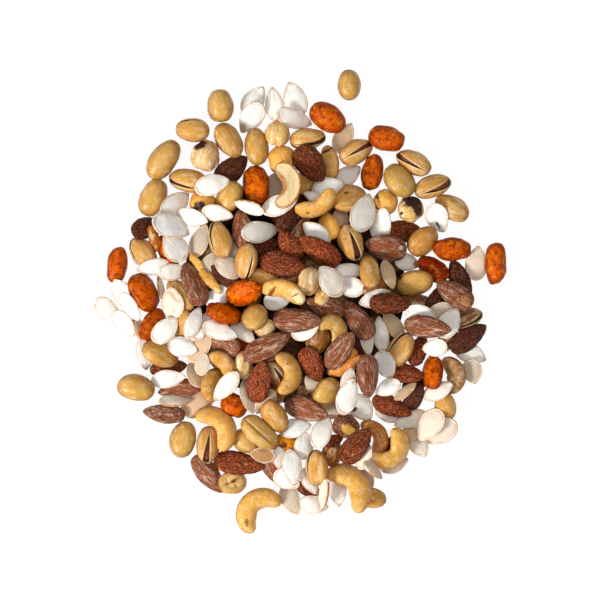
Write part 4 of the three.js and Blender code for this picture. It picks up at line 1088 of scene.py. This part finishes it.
def seed_paint():
    paint = Paint("pumpkin_seed_shell", roughness=0.5, specular=0.15)
    mottle = paint.spots((0.48, 0.72), 0.35, detail=4, rough=0.65, along=0.7)
    paint.cover("#b8a890", mottle, 0.2, tint=0.5)
    fibre = paint.noise(1.2, rough=0.7, along=0.6)
    paint.cover("#a89a86", paint.step(fibre, 0.46, 0.34), 0.15)
    broken = paint.spots((0.3, 0.5), 0.3)
    paint.cover("#fdf6ea", paint.mark("rim"), 0.6)
    paint.cover("#bd8a46", paint.mark("line"), paint.spots((0.38, 0.54), 0.28), 0.85)
    paint.cover("#b87c38", paint.mark("brink"), broken, 0.95)
    paint.cover("#a8713c", paint.step(paint.mark("end"), 0.8, 1.0), broken, 0.7)
    paint.cover("#c49a68", paint.spots((0.66, 0.73), 0.7), 0.35)
    return paint.finish(fibre, depth=0.18)


def chip_paint():
    paint = Paint("chip_crust", roughness=0.34, specular=0.2)
    paint.cover("#a05a14", paint.spots((0.5, 0.72), 0.4, detail=4), 0.6)
    paint.cover("#fbe0ac", paint.spots((0.5, 0.64), 0.3, detail=2), 0.7, tint=0.6)
    return paint.finish(paint.noise(0.8, detail=4), depth=0.4)


def core_paint():
    paint = Paint("core_shade", roughness=0.8, specular=0.2)
    crumbs = paint.noise(0.5, detail=4, rough=0.65)
    paint.cover("#1c0c04", paint.step(crumbs, 0.4, 0.65), tint=0.6)
    # Painted shade: near black down between the cobbles.
    paint.cover("#0e0603", paint.step(paint.mark("crest"), 0.85, 0.4))
    return paint.finish(crumbs, depth=0.8)


# ---- pieces -----------------------------------------------------------------------------------

# How far the frame's middle is from the rows' own, from a nut that both have.
box_low, box_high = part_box("stray_peanut_back")
stray_x, stray_y = STRAYS["stray_peanut_back"][1][1:3]
SHIFT = (
    (box_low[0] + box_high[0]) / 2 / MM - stray_x,
    (box_low[1] + box_high[1]) / 2 / MM - stray_y,
)

MARK_RAGGED = 0.14  # how ragged the edge of a mark is, against its size
MARK_WAVES, MARK_PITCH = 6, 2.5
MARK_EDGE = (1.15, 0.85)  # where its edge starts and is full
MARK_LEAST = 0.02  # it colours the points where it is at least this strong
MARK_LOWEST = -0.3  # and no point lower than this on its nut, against half the nut's height
OWN_SPREAD = 300  # each nut's paint is taken from its own place in the noise


def spots_on(nut, x, y, up):
    """The colour and strength of the marks that a nut bears, and how deep they are pressed in."""
    spot = np.zeros((len(x), 4))
    pressed = np.zeros(len(x))
    for nut_x, nut_y, spot_x, spot_y, length, width, heading, colour, depth in MARKS:
        if (nut_x, nut_y) != (nut.x, nut.y):
            continue
        cos, sin = math.cos(math.radians(heading)), math.sin(math.radians(heading))
        dx, dy = x - spot_x, y - spot_y
        out = np.hypot((dx * cos + dy * sin) / length, (dy * cos - dx * sin) / width) * 2
        ragged = MARK_RAGGED * ripples(np.stack([x, y, up], 1), MARK_WAVES, MARK_PITCH)
        inside = smooth_step(*MARK_EDGE, out + ragged) * (up > MARK_LOWEST * nut.half)
        spot[:, :3] = np.where(inside[:, None] > MARK_LEAST, shade(colour), spot[:, :3])
        spot[:, 3] = np.maximum(spot[:, 3], inside)
        pressed = pressed + depth * inside
    return spot, pressed


def place_object(name, data):
    made = bpy.data.objects.new(name, data)
    bpy.context.collection.objects.link(made)
    return made


# How an attribute of a mesh is stored, by the number of its values at a point: type and field.
STORED = {1: ("FLOAT", "value"), 3: ("FLOAT_VECTOR", "vector"), 4: ("FLOAT_COLOR", "color")}


class Pieces:
    """Skins joined into one mesh, with the marks that its paint reads."""

    def __init__(self, name, marks):
        self.name = name
        self.marks = marks
        self.points, self.faces = [], []
        self.layers = {layer: [] for layer in ("own", "hue", "spot", *marks)}
        self.count = 0

    def add(self, nut, skin, colour, given=()):
        along, across, up = skin.points.T
        x = nut.x + nut.cos * along - nut.sin * across
        y = nut.y + nut.sin * along + nut.cos * across
        spot, pressed = spots_on(nut, x, y, up)
        up = up - pressed
        z = nut.z + up + nut.pitch * along + nut.roll * across
        self.points.append(np.stack([x + SHIFT[0], y + SHIFT[1], np.maximum(z, 0)], 1) * MM)
        size = len(x)
        hue = np.ones((size, 4))
        hue[:, :3] = colour
        layers = {"own": skin.points + rng.uniform(0, OWN_SPREAD, 3), "hue": hue, "spot": spot}
        known = {**skin.marks, **dict(given)}
        for mark in self.marks:
            layers[mark] = np.broadcast_to(np.asarray(known.get(mark, 0), dtype=float), size)
        for layer, values in layers.items():
            self.layers[layer].append(values)
        self.faces += [[corner + self.count for corner in face] for face in skin.faces]
        self.count += size

    def build(self, material):
        """Makes the mesh, which rides on the root."""
        mesh = bpy.data.meshes.new(self.name)
        mesh.from_pydata(np.concatenate(self.points).tolist(), [], self.faces)
        mesh.validate()
        mesh.shade_smooth()
        for layer, values in self.layers.items():
            values = np.concatenate(values)
            data_type, field = STORED[values.size // self.count]
            mesh.attributes.new(layer, data_type, "POINT").data.foreach_set(field, values.ravel())
        mesh.materials.append(material)
        made = place_object(self.name, mesh)
        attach(made, "root")
        return made


# For each kind: its piece's name, how its skin and its paint are made, and the marks it has.
KINDS = {
    "almond": ("almonds", almond_skin, almond_paint, ("crest", "rise", "salted", "grain")),
    "peanut": ("peanuts", ball_skin, peanut_paint, ("rise",)),
    "chilli_peanut": ("chilli_peanuts", ball_skin, chilli_paint, ("rise",)),
    "hazelnut": ("hazelnuts", ball_skin, hazelnut_paint, ("crest", "rise", "blanched")),
    "cashew": ("cashews", cashew_skin, cashew_paint, ("seam", "cover", "rise")),
    "pistachio": (
        "pistachio_shells", shell_skin, shell_paint, ("cover", "lip", "seam", "rise", "end")
    ),
    "kernel": ("pistachio_kernels", kernel_skin, kernel_paint, ()),
    "chip": ("chips", ball_skin, chip_paint, ()),
    "seed": ("pumpkin_seeds", seed_skin, seed_paint, ("rim", "line", "brink", "end")),
}
# Marks that are the same all over a nut, by tone: how much salt shows on an almond's ridges, how
# grainy its coat is, and which hazelnuts are blanched.
TONE_MARKS = {
    "almond": {"salted": (0.12, 0.75, 0.12, 0.1), "grain": (0.35, 0.1, 1, 0.9)},
    "hazelnut": {"blanched": (1, 0, 0, 1)},
}
paints = {kind: paint() for kind, (_, _, paint, _) in KINDS.items()}


def pieces_of(kind, name, members):
    _, skin_of, _, marks = KINDS[kind]
    pieces = Pieces(name, marks)
    by_tone = TONE_MARKS.get(kind, {})
    for nut in members:
        colour = nut_colour(nut, kind)
        given = {mark: values[nut.tone] for mark, values in by_tone.items()}
        pieces.add(nut, skin_of(nut), colour, given)
    return pieces.build(paints[kind])


def members_of(kind, heap):
    """The heap's nuts that have a skin of this kind. A kernel shows in every shell that gapes."""
    if kind == "kernel":
        return [nut for nut in heap if nut.kind == "pistachio" and nut.extras[1] > 0]
    return [nut for nut in heap if nut.kind == kind]


CORE_AROUND, CORE_OUT = 150, 46
COBBLE_APART = 9  # the core's surface is cobbled like packed nuts this far from each other
COBBLE_REACH = 6.6  # how far one reaches from its middle
COBBLE_TALL = 6  # how deep the surface sinks between them
COBBLE_LEAST = 0.8  # but at most this share of the core's height there
COBBLE_TRIES = 1500
# Dark nut colours for the cobbles: painted shade, standing for packed nuts in shade under the heap.
COBBLE_TONES = ("#6a4418", "#3c1c0c", "#7e5420", "#4a2410", "#84683e", "#341a0a")
# The core stands flat and unturned.
CORE_PLACE = SimpleNamespace(x=CORE_CENTRE[0], y=CORE_CENTRE[1], z=0, cos=1, sin=0, pitch=0, roll=0)


def cobble_centres():
    """Places spread over the core's plan, none nearer to another than COBBLE_APART."""
    centres = []
    for x, y in rng.uniform(-1, 1, (COBBLE_TRIES, 2)):
        place = np.array([x * CORE_HALF_AXES[0], y * CORE_HALF_AXES[1]])
        if x * x + y * y < 1 and all(np.hypot(*(place - one)) > COBBLE_APART for one in centres):
            centres.append(place)
    return np.array(centres)


def core_skin():
    """The core's dome, cobbled on top, and its flat base; and the colour of each point."""
    out = np.sin(np.arange(1, CORE_OUT + 1) / CORE_OUT * math.pi / 2)
    turn = ring_angles(CORE_AROUND)
    across = with_poles(0, np.outer(out, np.cos(turn)), 0) * CORE_HALF_AXES[0]
    along = with_poles(0, np.outer(out, np.sin(turn)), 0) * CORE_HALF_AXES[1]
    height = with_poles(1, np.repeat((1 - out**2) ** CORE_FULLNESS, CORE_AROUND), 0)
    centres = cobble_centres()
    away = np.hypot(across[:, None] - centres[:, 0], along[:, None] - centres[:, 1])
    cobble = np.sqrt(np.clip(1 - (away.min(axis=1) / COBBLE_REACH) ** 2, 0, 1))
    dome = height * CORE_HEIGHT
    up = dome - np.minimum(COBBLE_TALL, COBBLE_LEAST * dome) * (1 - cobble)
    tones = np.array([shade(tone) for tone in COBBLE_TONES])
    faces = skin_faces(CORE_OUT, CORE_AROUND, is_from_top=True)
    return Skin(across, along, up, faces, crest=cobble), tones[away.argmin(axis=1) % len(tones)]


def make_core():
    core = Pieces("core", ("crest",))
    core.add(CORE_PLACE, *core_skin())
    return core.build(core_paint())


def put_in_heap(made):
    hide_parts("nut_heap")


heap, strays = settle_all()
for kind, (name, *_) in KINDS.items():
    put_in_heap(pieces_of(kind, name, members_of(kind, heap)))
for name, nut in strays.items():
    made = pieces_of(nut.kind, name.replace("stray", "loose"), [nut])
    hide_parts(name)
put_in_heap(make_core())


# ---- floor, light and camera ------------------------------------------------------------------

FLOOR_SIZE = 3.0
FLOOR_GREY = 0.15
FLOOR_GLOW = 0.9
FLOOR_ROUGHNESS = 0.9
KEY = {"from": (-1.15, -0.75, 1.0), "size": 0.5, "power": 30}
FILL = {"from": (0.2, 0.2, 1.35), "size": 1.2, "power": 6}
SKY = 0.34
WHITE = (1, 1, 1, 1)
PHOTO_WIDTH = 0.3  # of the ground that the photo shows
CAMERA_HEIGHT = 1.8
FOCUS_HEIGHT = 0.012  # at which the picture is as wide as the photo
SENSOR_WIDTH = 36


def make_floor():
    half = FLOOR_SIZE / 2
    mesh = bpy.data.meshes.new("floor")
    corners = [(-half, -half, 0), (half, -half, 0), (half, half, 0), (-half, half, 0)]
    mesh.from_pydata(corners, [], [(0, 1, 2, 3)])
    inputs = {
        "Roughness": FLOOR_ROUGHNESS,
        "Base Color": (FLOOR_GREY, FLOOR_GREY, FLOOR_GREY, 1),
        "Emission Color": WHITE,
        "Emission Strength": FLOOR_GLOW,
    }
    material, _ = new_shader("floor_paint", inputs)
    mesh.materials.append(material)
    place_object("floor", mesh)


def make_light(name, spec):
    data = bpy.data.lights.new(name, "AREA")
    data.shape = "DISK"
    data.size = spec["size"]
    data.energy = spec["power"]
    lamp = place_object(name, data)
    lamp.location = spec["from"]
    lamp.rotation_mode = "QUATERNION"
    lamp.rotation_quaternion = (-Vector(spec["from"])).to_track_quat("-Z", "Y")


def make_sky():
    world = bpy.data.worlds.new("sky")
    world.use_nodes = True
    fill(world.node_tree.nodes["Background"], {"Color": WHITE, "Strength": SKY})
    bpy.context.scene.world = world


def make_camera():
    """Straight above the heap and far off, with a long lens."""
    data = bpy.data.cameras.new("camera")
    data.sensor_width = SENSOR_WIDTH
    data.lens = SENSOR_WIDTH * (CAMERA_HEIGHT - FOCUS_HEIGHT) / PHOTO_WIDTH
    camera = place_object("camera", data)
    camera.location = (SHIFT[0] * MM, SHIFT[1] * MM, CAMERA_HEIGHT)
    bpy.context.scene.camera = camera


make_floor()
make_light("key_light", KEY)
make_light("fill_light", FILL)
make_camera()
make_sky()
bpy.context.scene.view_settings.view_transform = "Standard"

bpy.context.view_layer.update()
